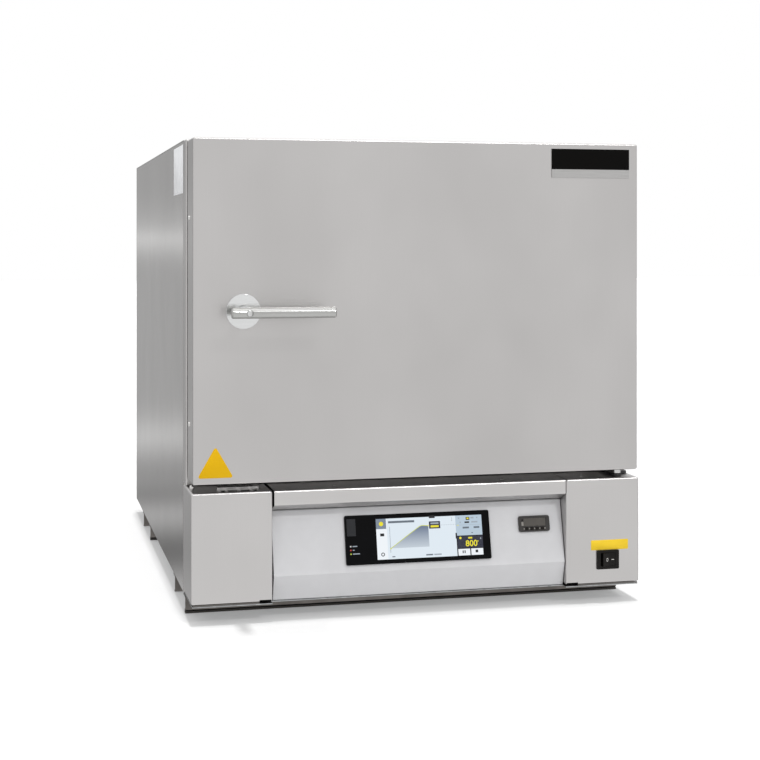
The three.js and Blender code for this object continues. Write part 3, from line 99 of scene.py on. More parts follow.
# Stainless sheet as it comes from the grinding belt: fine scratches along one way, so it shines in a
# soft streak across them, with faint clouds where the belt pressed harder. Real scratches lie 0.1 mm
# apart; they are drawn 0.7 mm apart so that a render shows them.
def groundSteel(name, grain, colour="#c4c2c1", deep="#bcbab9", rough=(0.28, 0.34), streak=0.15):
    material, tree = newMaterial(name)
    size = {"x": (60, 0.7, 0.7), "z": (0.7, 0.7, 60)}[grain]
    scratches = addNode(tree, "ShaderNodeTexNoise", {**fineNoise, "Vector": patternSpace(tree, size)}, "Fac")
    clouds = addNode(tree, "ShaderNodeTexNoise", {
        **fineNoise, "Vector": patternSpace(tree, (170, 170, 230))}, "Fac")
    cloudy = addNode(tree, "ShaderNodeMapRange", {**midRange, "Value": clouds})
    tone = addNode(tree, "ShaderNodeMix", {"data_type": "RGBA", 0: cloudy, 6: colour, 7: deep}, 2)
    scratched = addNode(tree, "ShaderNodeMapRange", {**midRange, "Value": scratches, "To Max": streak})
    lined = addNode(tree, "ShaderNodeMix", {"data_type": "RGBA", 0: scratched, 6: tone, 7: deep}, 2)
    dullness = addNode(tree, "ShaderNodeMapRange", {
        **midRange, "Value": scratches, "To Min": rough[0], "To Max": rough[1]})
    relief = addNode(tree, "ShaderNodeBump", {"Height": scratches, "Strength": 0.12, "Distance": 0.02 * mm})
    steel = addNode(tree, "ShaderNodeBsdfPrincipled", {
        "Base Color": lined, "Metallic": 1.0, "Roughness": dullness, "Normal": relief})
    addNode(tree, "ShaderNodeOutputMaterial", {"Surface": steel})
    return material


# Zinc-coated sheet: cold grey crystals 8 mm across, some duller than others.
def zincSheet():
    material, tree = newMaterial("galvanisedSheet")
    space = patternSpace(tree, 8)
    crystals = addNode(tree, "ShaderNodeTexVoronoi", {"Vector": space, "Scale": 1.0}, "Color")
    crystal = addNode(tree, "ShaderNodeRGBToBW", {"Color": crystals})
    tone = addNode(tree, "ShaderNodeMix", {"data_type": "RGBA", 0: crystal, 6: "#8d8f90", 7: "#b3b5b6"}, 2)
    dullness = addNode(tree, "ShaderNodeMapRange", {"Value": crystal, "To Min": 0.34, "To Max": 0.52})
    zinc = addNode(tree, "ShaderNodeBsdfPrincipled", {
        "Base Color": tone, "Metallic": 1.0, "Roughness": dullness})
    addNode(tree, "ShaderNodeOutputMaterial", {"Surface": zinc})
    return material


# Heat-resisting steel that has been hot: dull grey-brown with straw and faint blue patches of scale.
def scaledSteel(name="heatTintedSteel", dark="#6e665f", straw="#94866f", blue="#6a6d78"):
    material, tree = newMaterial(name)
    patches = addNode(tree, "ShaderNodeTexNoise", {
        **fineNoise, "Vector": patternSpace(tree, 90), "Detail": 4.0}, "Fac")
    speckle = addNode(tree, "ShaderNodeTexNoise", {**fineNoise, "Vector": patternSpace(tree, 3)}, "Fac")
    strawy = addNode(tree, "ShaderNodeMapRange", {"Value": patches, "From Min": 0.35, "From Max": 0.65})
    warm = addNode(tree, "ShaderNodeMix", {"data_type": "RGBA", 0: strawy, 6: dark, 7: straw}, 2)
    bluish = addNode(tree, "ShaderNodeMapRange", {
        "Value": patches, "From Min": 0.55, "From Max": 0.75, "To Max": 0.7})
    tinted = addNode(tree, "ShaderNodeMix", {"data_type": "RGBA", 0: bluish, 6: warm, 7: blue}, 2)
    dullness = addNode(tree, "ShaderNodeMapRange", {
        **midRange, "Value": speckle, "To Min": 0.42, "To Max": 0.6})
    relief = addNode(tree, "ShaderNodeBump", {"Height": speckle, "Strength": 0.15, "Distance": 0.05 * mm})
    steel = addNode(tree, "ShaderNodeBsdfPrincipled", {
        "Base Color": tinted, "Metallic": 0.9, "Roughness": dullness, "Normal": relief})
    addNode(tree, "ShaderNodeOutputMaterial", {"Surface": steel})
    return material


# Drawn and polished steel: bright, with faint drawing lines along the bar. The lines of a real bar are too
# fine to show; they are drawn 0.5 mm apart.
def polishedSteel(name, grain="x", colour="#d9d9d9", other="#cbcbca", rough=(0.12, 0.2)):
    material, tree = newMaterial(name)
    size = {"x": (40, 0.5, 0.5), "y": (0.5, 40, 0.5), "z": (0.5, 0.5, 40)}[grain]
    drawn = addNode(tree, "ShaderNodeTexNoise", {**fineNoise, "Vector": patternSpace(tree, size)}, "Fac")
    share = addNode(tree, "ShaderNodeMapRange", {**midRange, "Value": drawn})
    tone = addNode(tree, "ShaderNodeMix", {"data_type": "RGBA", 0: share, 6: colour, 7: other}, 2)
    dullness = addNode(tree, "ShaderNodeMapRange", {
        **midRange, "Value": drawn, "To Min": rough[0], "To Max": rough[1]})
    relief = addNode(tree, "ShaderNodeBump", {"Height": drawn, "Strength": 0.05, "Distance": 0.01 * mm})
    steel = addNode(tree, "ShaderNodeBsdfPrincipled", {
        "Base Color": tone, "Metallic": 1.0, "Roughness": dullness, "Normal": relief})
    addNode(tree, "ShaderNodeOutputMaterial", {"Surface": steel})
    return material


# Plastic, lacquer, rubber or coating: an even colour with a fine moulded or sprayed grain, whose size and
# depth are in millimetres, and wear in patches 25 mm wide.
def coated(name, colour, other, rough, grainSize=0.6, depth=0.03, strength=0.2, metallic=0.0, level=0.5):
    material, tree = newMaterial(name)
    grain = addNode(tree, "ShaderNodeTexNoise", {
        **fineNoise, "Vector": patternSpace(tree, grainSize)}, "Fac")
    wear = addNode(tree, "ShaderNodeTexNoise", {
        **fineNoise, "Vector": patternSpace(tree, 25), "Detail": 3.0}, "Fac")
    worn = addNode(tree, "ShaderNodeMapRange", {**midRange, "Value": wear})
    tone = addNode(tree, "ShaderNodeMix", {"data_type": "RGBA", 0: worn, 6: colour, 7: other}, 2)
    dullness = addNode(tree, "ShaderNodeMapRange", {
        **midRange, "Value": wear, "To Min": rough[0], "To Max": rough[1]})
    relief = addNode(tree, "ShaderNodeBump", {"Height": grain, "Strength": strength, "Distance": depth * mm})
    coat = addNode(tree, "ShaderNodeBsdfPrincipled", {
        "Base Color": tone, "Metallic": metallic, "Specular IOR Level": level, "Roughness": dullness,
        "Normal": relief})
    addNode(tree, "ShaderNodeOutputMaterial", {"Surface": coat})
    return material


# Pressed ceramic fibre: off-white felt with loose strands and cream blotches.
def fibreFelt(name, colour, other):
    material, tree = newMaterial(name)
    strands = addNode(tree, "ShaderNodeTexNoise", {
        **fineNoise, "Vector": patternSpace(tree, (1.2, 7, 1.2)), "Detail": 5.0, "Roughness": 0.7}, "Fac")
    blotches = addNode(tree, "ShaderNodeTexNoise", {
        **fineNoise, "Vector": patternSpace(tree, 60), "Detail": 3.0}, "Fac")
    share = addNode(tree, "ShaderNodeMapRange", {**midRange, "Value": blotches})
    tone = addNode(tree, "ShaderNodeMix", {"data_type": "RGBA", 0: share, 6: colour, 7: other}, 2)
    relief = addNode(tree, "ShaderNodeBump", {"Height": strands, "Strength": 0.6, "Distance": 0.6 * mm})
    felt = addNode(tree, "ShaderNodeBsdfPrincipled", {
        "Base Color": tone, "Roughness": 0.95, "Normal": relief})
    addNode(tree, "ShaderNodeOutputMaterial", {"Surface": felt})
    return material


# Braided glass-fibre tape: two sets of 2 mm yarns, one every 3.927 mm, that cross at a slant in radians. A
# wave turns once in a tenth of pi over its scale.
def braidedTape(pitch=3.927, slant=0.7):
    material, tree = newMaterial("braidedGlassTape")
    place = addNode(tree, "ShaderNodeTexCoord", give="Object")
    yarns = []
    for turn in (slant, -slant):
        turned = addNode(tree, "ShaderNodeMapping", {"Vector": place, "Rotation": (0.0, turn, 0.0)})
        yarns.append(addNode(tree, "ShaderNodeTexWave", {
            "Vector": turned, "Scale": math.pi / (10 * pitch * mm)}, "Fac"))
    braid = addNode(tree, "ShaderNodeMath", {"operation": "MAXIMUM", 0: yarns[0], 1: yarns[1]})
    tone = addNode(tree, "ShaderNodeMix", {"data_type": "RGBA", 0: braid, 6: "#a9a28f", 7: "#e2dccb"}, 2)
    relief = addNode(tree, "ShaderNodeBump", {"Height": braid, "Strength": 0.7, "Distance": 0.5 * mm})
    tape = addNode(tree, "ShaderNodeBsdfPrincipled", {
        "Base Color": tone, "Roughness": 0.9, "Normal": relief})
    addNode(tree, "ShaderNodeOutputMaterial", {"Surface": tape})
    return material


# A lit picture element behind the glass: its own light, with the glass's shine over it. A fade is a second
# colour and two heights in metres, between which the light falls off downwards into it.
def litFilm(name, colour, strength=0.85, fade=None):
    material, tree = newMaterial(name)
    if fade:
        place = addNode(tree, "ShaderNodeTexCoord", give="Object")
        height = addNode(tree, "ShaderNodeSeparateXYZ", {"Vector": place}, "Z")
        share = addNode(tree, "ShaderNodeMapRange", {
            "Value": height, "From Min": fade[1], "From Max": fade[2]})
        glow = addNode(tree, "ShaderNodeMix", {"data_type": "RGBA", 0: share, 6: fade[0], 7: colour}, 2)
    else:
        grid = addNode(tree, "ShaderNodeTexNoise", {
            **fineNoise, "Vector": patternSpace(tree, 0.8), "Detail": 1.0}, "Fac")
        share = addNode(tree, "ShaderNodeMapRange", {**midRange, "Value": grid, "To Max": 0.06})
        glow = addNode(tree, "ShaderNodeMix", {"data_type": "RGBA", 0: share, 6: colour, 7: "#ffffff"}, 2)
    lit = addNode(tree, "ShaderNodeBsdfPrincipled", {
        "Base Color": "#060606", "Emission Color": glow, "Emission Strength": strength, "Roughness": 0.12,
        "Specular IOR Level": 0.2})
    addNode(tree, "ShaderNodeOutputMaterial", {"Surface": lit})
    return material


# The door's plate: black enamel over the upper part and plain satin aluminium below, split at a height.
def platedBadge(splitHeight):
    material, tree = newMaterial("enamelledPlate")
    place = addNode(tree, "ShaderNodeTexCoord", give="Object")
    height = addNode(tree, "ShaderNodeSeparateXYZ", {"Vector": place}, "Z")
    enamelled = addNode(tree, "ShaderNodeMath", {"operation": "GREATER_THAN", 0: height, 1: splitHeight})
    brushed = addNode(tree, "ShaderNodeTexNoise", {
        **fineNoise, "Vector": patternSpace(tree, (30, 0.5, 0.5))}, "Fac")
    share = addNode(tree, "ShaderNodeMapRange", {**midRange, "Value": brushed})
    metal = addNode(tree, "ShaderNodeMix", {"data_type": "RGBA", 0: share, 6: "#b6b5b4", 7: "#aaa9a8"}, 2)
    tone = addNode(tree, "ShaderNodeMix", {"data_type": "RGBA", 0: enamelled, 6: metal, 7: "#070605"}, 2)
    dullness = addNode(tree, "ShaderNodeMapRange", {"Value": enamelled, "To Min": 0.35, "To Max": 0.24})
    metallic = addNode(tree, "ShaderNodeMapRange", {"Value": enamelled, "To Min": 0.85, "To Max": 0.0})
    face = addNode(tree, "ShaderNodeBsdfPrincipled", {
        "Base Color": tone, "Metallic": metallic, "Roughness": dullness, "Specular IOR Level": 0.06})
    addNode(tree, "ShaderNodeOutputMaterial", {"Surface": face})
    return material


finishes = {
    "satin": groundSteel("groundStainlessUpright", "z"),
    # The covers and the ledge use the same ground steel as the door, made lighter: painted light.
    "cover": groundSteel("groundStainlessCoverLitCopy", "z", "#cac8c7", "#c2c0bf"),
    "ledge": groundSteel("groundStainlessLedgeLitCopy", "x", "#cdcbca", "#c5c3c2"),
    # The side panels use the same ground steel made darker: painted shade. Their lower roughness and
    # stronger streak are the sheet's own.
    "side": groundSteel("groundStainlessSideShadedCopy", "z", "#bdbab8", "#b0adab", (0.14, 0.2), 0.25),
    "level": groundSteel("groundStainlessLevel", "x"),
    "shaded": groundSteel("groundStainlessDull", "x", "#a5a19d", "#8f8b87", (0.34, 0.45), 0.2),
    "zinc": zincSheet(),
    "hot": scaledSteel(),
    "coil": scaledSteel("scaledHeatingAlloy", "#4c4642", "#5f564b", "#4a4a50"),
    "lever": polishedSteel("brushedTubeSteel", "x", "#b6b6b4", "#aeaeac", (0.18, 0.26)),
    "bright": polishedSteel("brightTurnedSteel", "y"),
    "rose": polishedSteel("polishedRoseSteel", "x", "#dddede", "#d8d9d9", (0.12, 0.16)),
    "screw": polishedSteel("nickelledScrewSteel", "z", "#e0dfdd", "#d2d1cf", (0.14, 0.22)),
    "powder": coated("blackPowderCoat", "#1d1d1f", "#262628", (0.42, 0.5), 0.9, 0.06, 0.3),
    "plastic": coated("texturedBlackPlastic", "#1f1f21", "#28282b", (0.45, 0.55)),
    "gloss": coated("glossBlackPlastic", "#151413", "#1b1918", (0.24, 0.32), 0.8, 0.01, 0.1, level=0.12),
    "bezel": coated("brownInstrumentPlastic", "#2f2d2c", "#353331", (0.38, 0.46), level=0.25),
    "keyCap": coated("blackKeyRubber", "#120e0b", "#17130f", (0.4, 0.5), level=0.15),
    "enamel": coated("lightGreyEnamel", "#c4c4c6", "#c0c0c2", (0.3, 0.36), 1.2, 0.006, 0.1, level=0.4),
    # The foot rails are dark steel, made darker still as painted shade for the shade under the casing.
    "rail": coated("darkSteelWithPaintedShade", "#6f6b68", "#5d5a57", (0.34, 0.42), 1.0, 0.02, 0.2, metallic=1.0),
    "flap": coated("darkPortPlastic", "#121418", "#181a1f", (0.35, 0.42), level=0.3),
    "glass": coated("blackCoatedGlass", "#040405", "#060608", (0.05, 0.09), 2.0, 0.002, 0.05, level=0.08),
    "window": coated("smokedWindow", "#4c4945", "#53504c", (0.12, 0.18), 1.0, 0.005, 0.05, level=0.2),
    "legend": coated("greyLimiterMarks", "#7d7a75", "#88857f", (0.4, 0.5), 1.0, 0.005, 0.05, level=0.2),
    "lamp": coated("darkLampLens", "#120c0b", "#170f0e", (0.2, 0.3), 1.0, 0.005, 0.05, level=0.2),
    "rubber": coated("ribbedRubber", "#302d2a", "#3a3733", (0.75, 0.85), 1.2, 0.1, 0.4),
    # A grey strip in the gap under each cover: painted shade of that gap.
    "seal": coated("greyGapShadeStrip", "#555250", "#5e5b58", (0.6, 0.7), 1.0, 0.02, 0.2, level=0.2),
    "motor": coated("grayMotorEnamel", "#4d5357", "#565c60", (0.4, 0.5), 1.5, 0.05, 0.2),
    "aluminium": coated("extrudedAluminium", "#b9babb", "#a8a9aa", (0.35, 0.45), 0.7, 0.02, 0.2, 1.0),
    "board": coated("epoxyCircuitBoard", "#24553a", "#1d4a31", (0.35, 0.5), 3.0, 0.05, 0.2),
    "felt": fibreFelt("pressedCeramicFibre", "#e8e4d9", "#d9d3c4"),
    "tape": braidedTape(),
    "yellow": coated("yellowPolyesterFilm", "#cfa201", "#d2a605", (0.3, 0.38), 2.0, 0.004, 0.05, level=0.15),
    "paleYellow": coated("printedYellowFilm", "#dab92c", "#d7b528", (0.35, 0.45), 2.0, 0.004, 0.05,
                         level=0.15),
    "white": coated("whitePolyesterFilm", "#dddee0", "#d6d7d9", (0.35, 0.45), 2.0, 0.004, 0.05),
    "paint": coated("whiteFilledMark", "#d8d6d2", "#cfcdc9", (0.5, 0.6)),
}
print("materials made:", len(bpy.data.materials))

# What each CAD node is made of
madeOf = {
    "satin": ["door_skin", "front_frame"],
    "cover": ["base_cover_left", "base_cover_right"],
    "ledge": ["base_ledge"],
    "level": ["top_panel"],
    "enamel": ["control_panel"],
    "side": ["side_panel_left", "side_panel_right"],
    "shaded": ["rear_panel", "exhaust_duct"],
    "rail": ["foot_rail_rubber_1", "foot_rail_rubber_2", "foot_rail_plain_1", "foot_rail_plain_2"],
    "zinc": ["bottom_plate", "inner_wall", "motor_bracket", "exhaust_damper", "hinge_block_lower",
             "hinge_block_upper"],
    "rubber": ["foot_strip_1", "foot_strip_2"],
    "powder": ["strike_bracket", "hinge_bracket_lower", "hinge_bracket_upper", "latch_cam"],
    "hot": ["chamber_liner", "side_baffle_left", "side_baffle_right", "rear_baffle", "shelf_grid",
            "fan_wheel", "door_pan"],
    "coil": ["heating_coil"],
    "bright": ["fan_shaft", "control_sensor", "limiter_sensor", "hinge_pin_lower", "lever_spindle"],
    "lever": ["lever_tube"],
    "rose": ["lever_rose"],
    "felt": ["insulation_box", "door_insulation"],
    "tape": ["door_gasket"],
    "motor": ["fan_motor"],
    "aluminium": ["relay_heatsink"],
    "board": ["control_board"],
    "plastic": ["controller_housing", "cable_gland"],
    "bezel": ["limiter_body"],
    "keyCap": ["limiter_key_1", "limiter_key_2", "limiter_key_3", "limiter_key_4"],
    "gloss": ["switch_frame", "switch_rocker"],
    "flap": ["port_flap"],
    "glass": ["controller_glass"],
}
badge = {"enamelHigh": 30.8}  # millimetres down from the plate's top
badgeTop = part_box("badge_plate")[1].z
finishes["badge"] = platedBadge(badgeTop - badge["enamelHigh"] * mm)
madeOf["badge"] = ["badge_plate"]


def dress(thing, finish):
    thing.data.materials.clear()
    thing.data.materials.append(finishes[finish])


finishOf = {name: finish for finish, names in madeOf.items() for name in names}
for name, finish in finishOf.items():
    dress(nodes[name], finish)
bodyOf = {name: body for body, names in frame["record"]["behaviour"]["bodies"].items() for name in names}
print("nodes dressed:", len(finishOf))

# Edges: angles in degrees, the distance at which loose corners are joined in millimetres
edgeWork = {"bend": 32.0, "flat": 1.0, "joined": 0.001, "segments": 2}


# Shading normals for a mesh with small bends between large flat faces: at each corner the normals of the
# faces that meet there at less than the bend angle are added by area, so a flat stays flat up to its bend.
def settleNormals(mesh):
    near = math.cos(math.radians(edgeWork["bend"]))
    around = {}
    for face in mesh.polygons:
        for vertex in face.vertices:
            around.setdefault(vertex, []).append(face)
    corners = []
    for face in mesh.polygons:
        for vertex in face.vertices:
            total = face.normal * 0.0
            for other in around[vertex]:
                if other.normal.dot(face.normal) > near:
                    total += other.normal * other.area
            corners.append(total.normalized())
    mesh.normals_split_custom_set(corners)


# A copy of a node's mesh with its loose triangles joined and its round work shaded smooth, which stands
# for the node. Cast and machined edges are broken by a small radius; folded sheet has its bends already.
def softened(node, radius):
    mesh = nodes[node].data.copy()
    work = bmesh.new()
    work.from_mesh(mesh)
    bmesh.ops.remove_doubles(work, verts=work.verts, dist=edgeWork["joined"] * mm)
    flat = math.radians(edgeWork["flat"])
    bmesh.ops.dissolve_limit(work, angle_limit=flat, verts=work.verts, edges=work.edges)
    work.to_mesh(mesh)
    work.free()
    mesh.shade_smooth()
    mesh.set_sharp_from_angle(angle=math.radians(edgeWork["bend"]))
    piece = newObject(node + "_formed", mesh)
    if radius:
        edge = piece.modifiers.new("brokenEdge", "BEVEL")
        edge.width = radius * mm
        edge.segments = edgeWork["segments"]
        edge.limit_method = "ANGLE"
        edge.angle_limit = math.radians(edgeWork["bend"])
        edge.harden_normals = True
    else:
        settleNormals(mesh)
    dress(piece, finishOf[node])
    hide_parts(node)
    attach(piece, bodyOf[node])


edgeBreaks = {
    "top_panel": 0.7, "badge_plate": 0.25, "limiter_body": 0.5, "switch_frame": 0.5, "switch_rocker": 0.5,
    "controller_glass": 0.4, "port_flap": 0.3, "lever_rose": 0.4, "lever_tube": 0.2,
    "hinge_bracket_lower": 0.6, "hinge_pin_lower": 0.4, "lever_spindle": 0.4,
    "limiter_key_1": 0.35, "limiter_key_2": 0.35, "limiter_key_3": 0.35, "limiter_key_4": 0.35,
}
foldedSheets = ["door_skin", "base_cover_left", "base_cover_right", "base_ledge", "control_panel",
                "front_frame", "side_panel_left", "side_panel_right", "foot_rail_rubber_1",
                "foot_rail_rubber_2", "foot_rail_plain_1", "foot_rail_plain_2"]
for node, radius in edgeBreaks.items():
    softened(node, radius)
for node in foldedSheets:
    softened(node, 0)
print("edges broken on", len(edgeBreaks), "pieces, bends smoothed on", len(foldedSheets))


# Puts arrays of points, in millimetres, and faces into a named object and gives it finish and body; its slot
# is not used.
def makePiece(name, points, faces, finish, slot, body, smoothBelow=40.0, faceFinish=None):
    mesh = bpy.data.meshes.new(name)
    mesh.from_pydata(np.asarray(points) * mm, [], [list(map(int, f)) for f in faces])
    mesh.validate()
    mesh.shade_smooth()
    mesh.set_sharp_from_angle(angle=math.radians(smoothBelow))
    piece = newObject(name, mesh)
    for each in ([finish] if isinstance(finish, str) else finish):
        mesh.materials.append(finishes[each])
    if faceFinish is not None:
        mesh.polygons.foreach_set("material_index", np.asarray(faceFinish, np.int32))
    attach(piece, body)


# The lower and the upper corner of a CAD node's box, in millimetres.
def boxOf(node):
    return [np.array(corner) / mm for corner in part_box(node)]


# Faces of closed rings of points that follow one another: quads between neighbours and a cap at both ends.
def ringFaces(rings, count):
    r, c = np.meshgrid(np.arange(rings - 1), np.arange(count), indexing="ij")
    n = (c + 1) % count
    quads = np.stack([r * count + c, r * count + n, (r + 1) * count + n, (r + 1) * count + c], -1)
    first = list(range(count))[::-1]
    last = [(rings - 1) * count + i for i in range(count)]
    return quads.reshape(-1, 4).tolist() + [first, last]


# Joins several shapes into one list of points and faces.
def gathered(shapes):
    points, faces, start = [], [], 0
    for p, f in shapes:
        points.append(p)
        faces.extend([[i + start for i in face] for face in f])
        start += len(p)
    return np.concatenate(points), faces


# A turned piece: the point at (height, angle) is centre + height along the axis + radius times cosine of the
# angle to one side + radius times sine to the other, where a share of the radius may follow the angle.
def turnedSurface(profile, centre, axis, sides, radiusAt=None):
    profile = np.asarray(profile, float)
    angle = np.arange(sides) * 2 * np.pi / sides
    radius = profile[:, :1] * (np.ones(sides) if radiusAt is None else radiusAt(angle))
    axis = np.asarray(axis, float) / np.linalg.norm(axis)
    side = np.cross(axis, [0.0, 0.0, 1.0] if abs(axis[2]) < 0.9 else [1.0, 0.0, 0.0])
    side /= np.linalg.norm(side)
    up = np.cross(axis, side)
    points = (np.asarray(centre, float) + profile[:, 1:2, None] * axis
              + (radius * np.cos(angle))[..., None] * side + (radius * np.sin(angle))[..., None] * up)
    return points.reshape(-1, 3), ringFaces(len(profile), sides)


# A hexagon about a circle of radius 1: at each angle, cosine of 30 degrees over the cosine of how far the
# angle is from the middle of its flat.
def hexagon(angle):
    return np.cos(np.pi / 6) / np.cos((angle % (np.pi / 3)) - np.pi / 6)


# A screw seen from its head: a low dome with a hexagon socket sunk into it by a share of its height. The
# profile runs from the shank over the head's rim and down the socket, whose radius follows the hexagon.
def socketScrew(centre, axis, size, sunk=0.5, sides=24):
    radius, height, socket = size["radius"], size["height"], size["socket"]
    outer = [(radius * 0.5, -1.0), (radius * 0.5, 0.0), (radius, 0.0), (radius, height * 0.45),
             (radius * 0.86, height * 0.85), (radius * 0.62, height)]
    inner = [(socket, height), (socket * 0.94, height * (1 - sunk)), (0.05, height * (1 - sunk))]
    head = turnedSurface(outer, centre, axis, sides)[0]
    well = turnedSurface(inner, centre, axis, sides, hexagon)[0]
    return np.concatenate([head, well]), ringFaces(len(outer) + len(inner), sides)


# A rectangle's outline whose corners are quarter circles: corner centre + radius times (cosine, sine).
def roundedOutline(width, height, corner, steps=6):
    turn = np.linspace(0, np.pi / 2, steps)
    places = [(width / 2 - corner, height / 2 - corner), (-width / 2 + corner, height / 2 - corner),
              (-width / 2 + corner, -height / 2 + corner), (width / 2 - corner, -height / 2 + corner)]
    arcs = []
    for k, (x, y) in enumerate(places):
        a = turn + k * np.pi / 2
        arcs.append(np.stack([x + corner * np.cos(a), y + corner * np.sin(a)], 1))
    return np.concatenate(arcs)


# An even triangle's outline with its point up: three arcs about centres that lie the triangle's outer
# radius, less twice the corner's, from the middle.
def triangleOutline(side, corner, steps=7):
    reach = side / math.sqrt(3) - 2 * corner
    arcs = []
    for k in range(3):
        middle = math.pi / 2 + k * 2 * math.pi / 3
        turn = np.linspace(middle - math.pi / 3, middle + math.pi / 3, steps)
        arcs.append(np.stack([reach * math.cos(middle) + corner * np.cos(turn),
                              reach * math.sin(middle) + corner * np.sin(turn)], 1))
    return np.concatenate(arcs)


# A plate over an outline: rings of it step inwards and up over a small edge, each point moved towards the
# middle by the step. The place function sets points (across, up, lift) on the object.
def plate(outline, size, place):
    thick, edge = size["thick"], size["edge"]
    middle = outline.mean(0)
    reach = np.linalg.norm(outline - middle, axis=1, keepdims=True)
    profile = [(0.0, 0.0), (0.0, thick - edge), (edge * 0.3, thick - edge * 0.3), (edge, thick)]
    rings = [np.hstack([middle + (outline - middle) * (1 - inset / reach), np.full((len(outline), 1), lift)])
             for inset, lift in profile]
    return place(np.concatenate(rings)), ringFaces(len(profile), len(outline))


# A flat prism: corners (across, up) at the lower and at the upper lift. The place function sets points
# (across, lift, up) on the object.
def prism(corners, low, high, place):
    flat = np.asarray(corners, float)
    rings = [np.stack([flat[:, 0], np.full(len(flat), lift), flat[:, 1]], 1) for lift in (low, high)]
    return place(np.concatenate(rings)), ringFaces(2, len(flat))


# Points (across, up, lift) about a middle on the door's side of the object, and on its left side
def onDoor(right, up, face):
    return lambda p: np.stack([right + p[:, 0], face - p[:, 2], up + p[:, 1]], 1)


def onSide(depth, up, face):
    return lambda p: np.stack([face - p[:, 2], depth - p[:, 0], up + p[:, 1]], 1)


doorLow = boxOf("door_skin")[0]
coverLow, coverHigh = boxOf("base_cover_left")
rightLow, rightHigh = boxOf("base_cover_right")
switchLow, switchHigh = boxOf("switch_frame")
front = doorLow[1]  # the door's face
left = coverLow[0]  # the casing's left side

# Films on the door, the cover and the side
doorSign = {"across": 34.8, "middle": 224.0, "side": 52.0, "corner": 2.6, "thick": 0.25, "edge": 0.1}
sign = plate(triangleOutline(doorSign["side"], doorSign["corner"]), doorSign,
             onDoor(left + doorSign["across"], doorSign["middle"], front))
makePiece("door_sign", *sign, "yellow", "stainless_sheet", "door", 60)

coverStrip = {"width": 59.8, "height": 15.1, "aboveSwitch": 0.2, "rightOfSwitch": 3.15, "corner": 1.2,
              "thick": 0.2, "edge": 0.08}
stripX = (switchLow[0] + switchHigh[0]) / 2 + coverStrip["rightOfSwitch"]
stripZ = switchHigh[2] + coverStrip["aboveSwitch"] + coverStrip["height"] / 2
strip = plate(roundedOutline(coverStrip["width"], coverStrip["height"], coverStrip["corner"]), coverStrip,
              onDoor(stripX, stripZ, coverLow[1]))
makePiece("cover_strip", *strip, "paleYellow", "stainless_sheet", "cabinet", 60)

sideFilm = {"width": 130.0, "height": 72.0, "behindFront": 99.8, "middle": 653.0, "corner": 1.5,
            "thick": 0.15, "edge": 0.06}
filmY = front + sideFilm["behindFront"] + sideFilm["width"] / 2
film = plate(roundedOutline(sideFilm["width"], sideFilm["height"], sideFilm["corner"]), sideFilm,
             onSide(filmY, sideFilm["middle"], boxOf("side_panel_left")[0][0]))
makePiece("side_film", *film, "white", "stainless_sheet", "cabinet", 60)
print("films laid")

# Screws on the deck between door and base, a taller bolt at its left end, and screws in the door's edge
deckScrews = {"across": [100, 213, 470, 597], "depth": 28.5, "radius": 3.4, "height": 1.2, "socket": 1.5}
deck = rightHigh[2]
screws = [socketScrew((left + x, front + deckScrews["depth"], deck), (0, 0, 1), deckScrews)
          for x in deckScrews["across"]]
makePiece("deck_screws", *gathered(screws), "satin", "bright_steel", "cabinet")

deckBolt = {"across": 7.1, "depth": 50.5, "radius": 3.4, "height": 4.6, "socket": 1.5}
bolt = socketScrew((left + deckBolt["across"], front + deckBolt["depth"], deck), (0, 0, 1), deckBolt)
makePiece("deck_bolt", *bolt, "screw", "bright_steel", "cabinet")

doorSideScrews = {"up": [579.0, 282.0], "depth": 39.0, "radius": 3.4, "height": 2.0, "socket": 1.4}
screws = [socketScrew((doorLow[0], front + doorSideScrews["depth"], z), (-1, 0, 0), doorSideScrews)
          for z in doorSideScrews["up"]]
makePiece("door_side_screws", *gathered(screws), "screw", "bright_steel", "door")

# Screws round the rear panel, a few along each edge
rearScrews = {"radius": 4.0, "height": 2.2, "socket": 1.8, "inset": 14.0, "across": 5, "up": 6}
rearLow, rearHigh = boxOf("rear_panel")
inset = rearScrews["inset"]
columns = np.linspace(rearLow[0] + inset, rearHigh[0] - inset, rearScrews["across"])
rows = np.linspace(rearLow[2] + inset, rearHigh[2] - inset, rearScrews["up"])
spots = [(x, z) for z in (rows[0], rows[-1]) for x in columns]
spots += [(x, z) for x in (columns[0], columns[-1]) for z in rows[1:-1]]
screws = [socketScrew((x, rearHigh[1], z), (0, 1, 0), rearScrews) for x, z in spots]
makePiece("rear_screws", *gathered(screws), "screw", "bright_steel", "cabinet")
print("screws set")

# A thin grey strip fills the gap between a cover and the bottom plate, but for a notch at the inner corner:
# painted shade, in the tone of the shadow in that gap.
coverGapShades = {"notch": 19.0, "behind": 0.6, "thick": 0.8, "edge": 0.1, "gap": 0.35, "corner": 0.3,
              "inFromSide": 2.5}
plateTop = boxOf("bottom_plate")[1][2]
gapShadeTop = coverLow[2] - coverGapShades["gap"]
gapShadeY = coverLow[1] + coverGapShades["behind"] + coverGapShades["thick"]
gapShades = []
for start, end in ((coverLow[0] + coverGapShades["inFromSide"], coverHigh[0] - coverGapShades["notch"]),
                   (rightLow[0] + coverGapShades["notch"], rightHigh[0] - coverGapShades["inFromSide"])):
    outline = roundedOutline(end - start, gapShadeTop - plateTop, coverGapShades["corner"])
    place = onDoor((start + end) / 2, (plateTop + gapShadeTop) / 2, gapShadeY)
    gapShades.append(plate(outline, coverGapShades, place))
makePiece("cover_gap_shades", *gathered(gapShades), "seal", "rubber", "cabinet", 60)
print("seals laid")

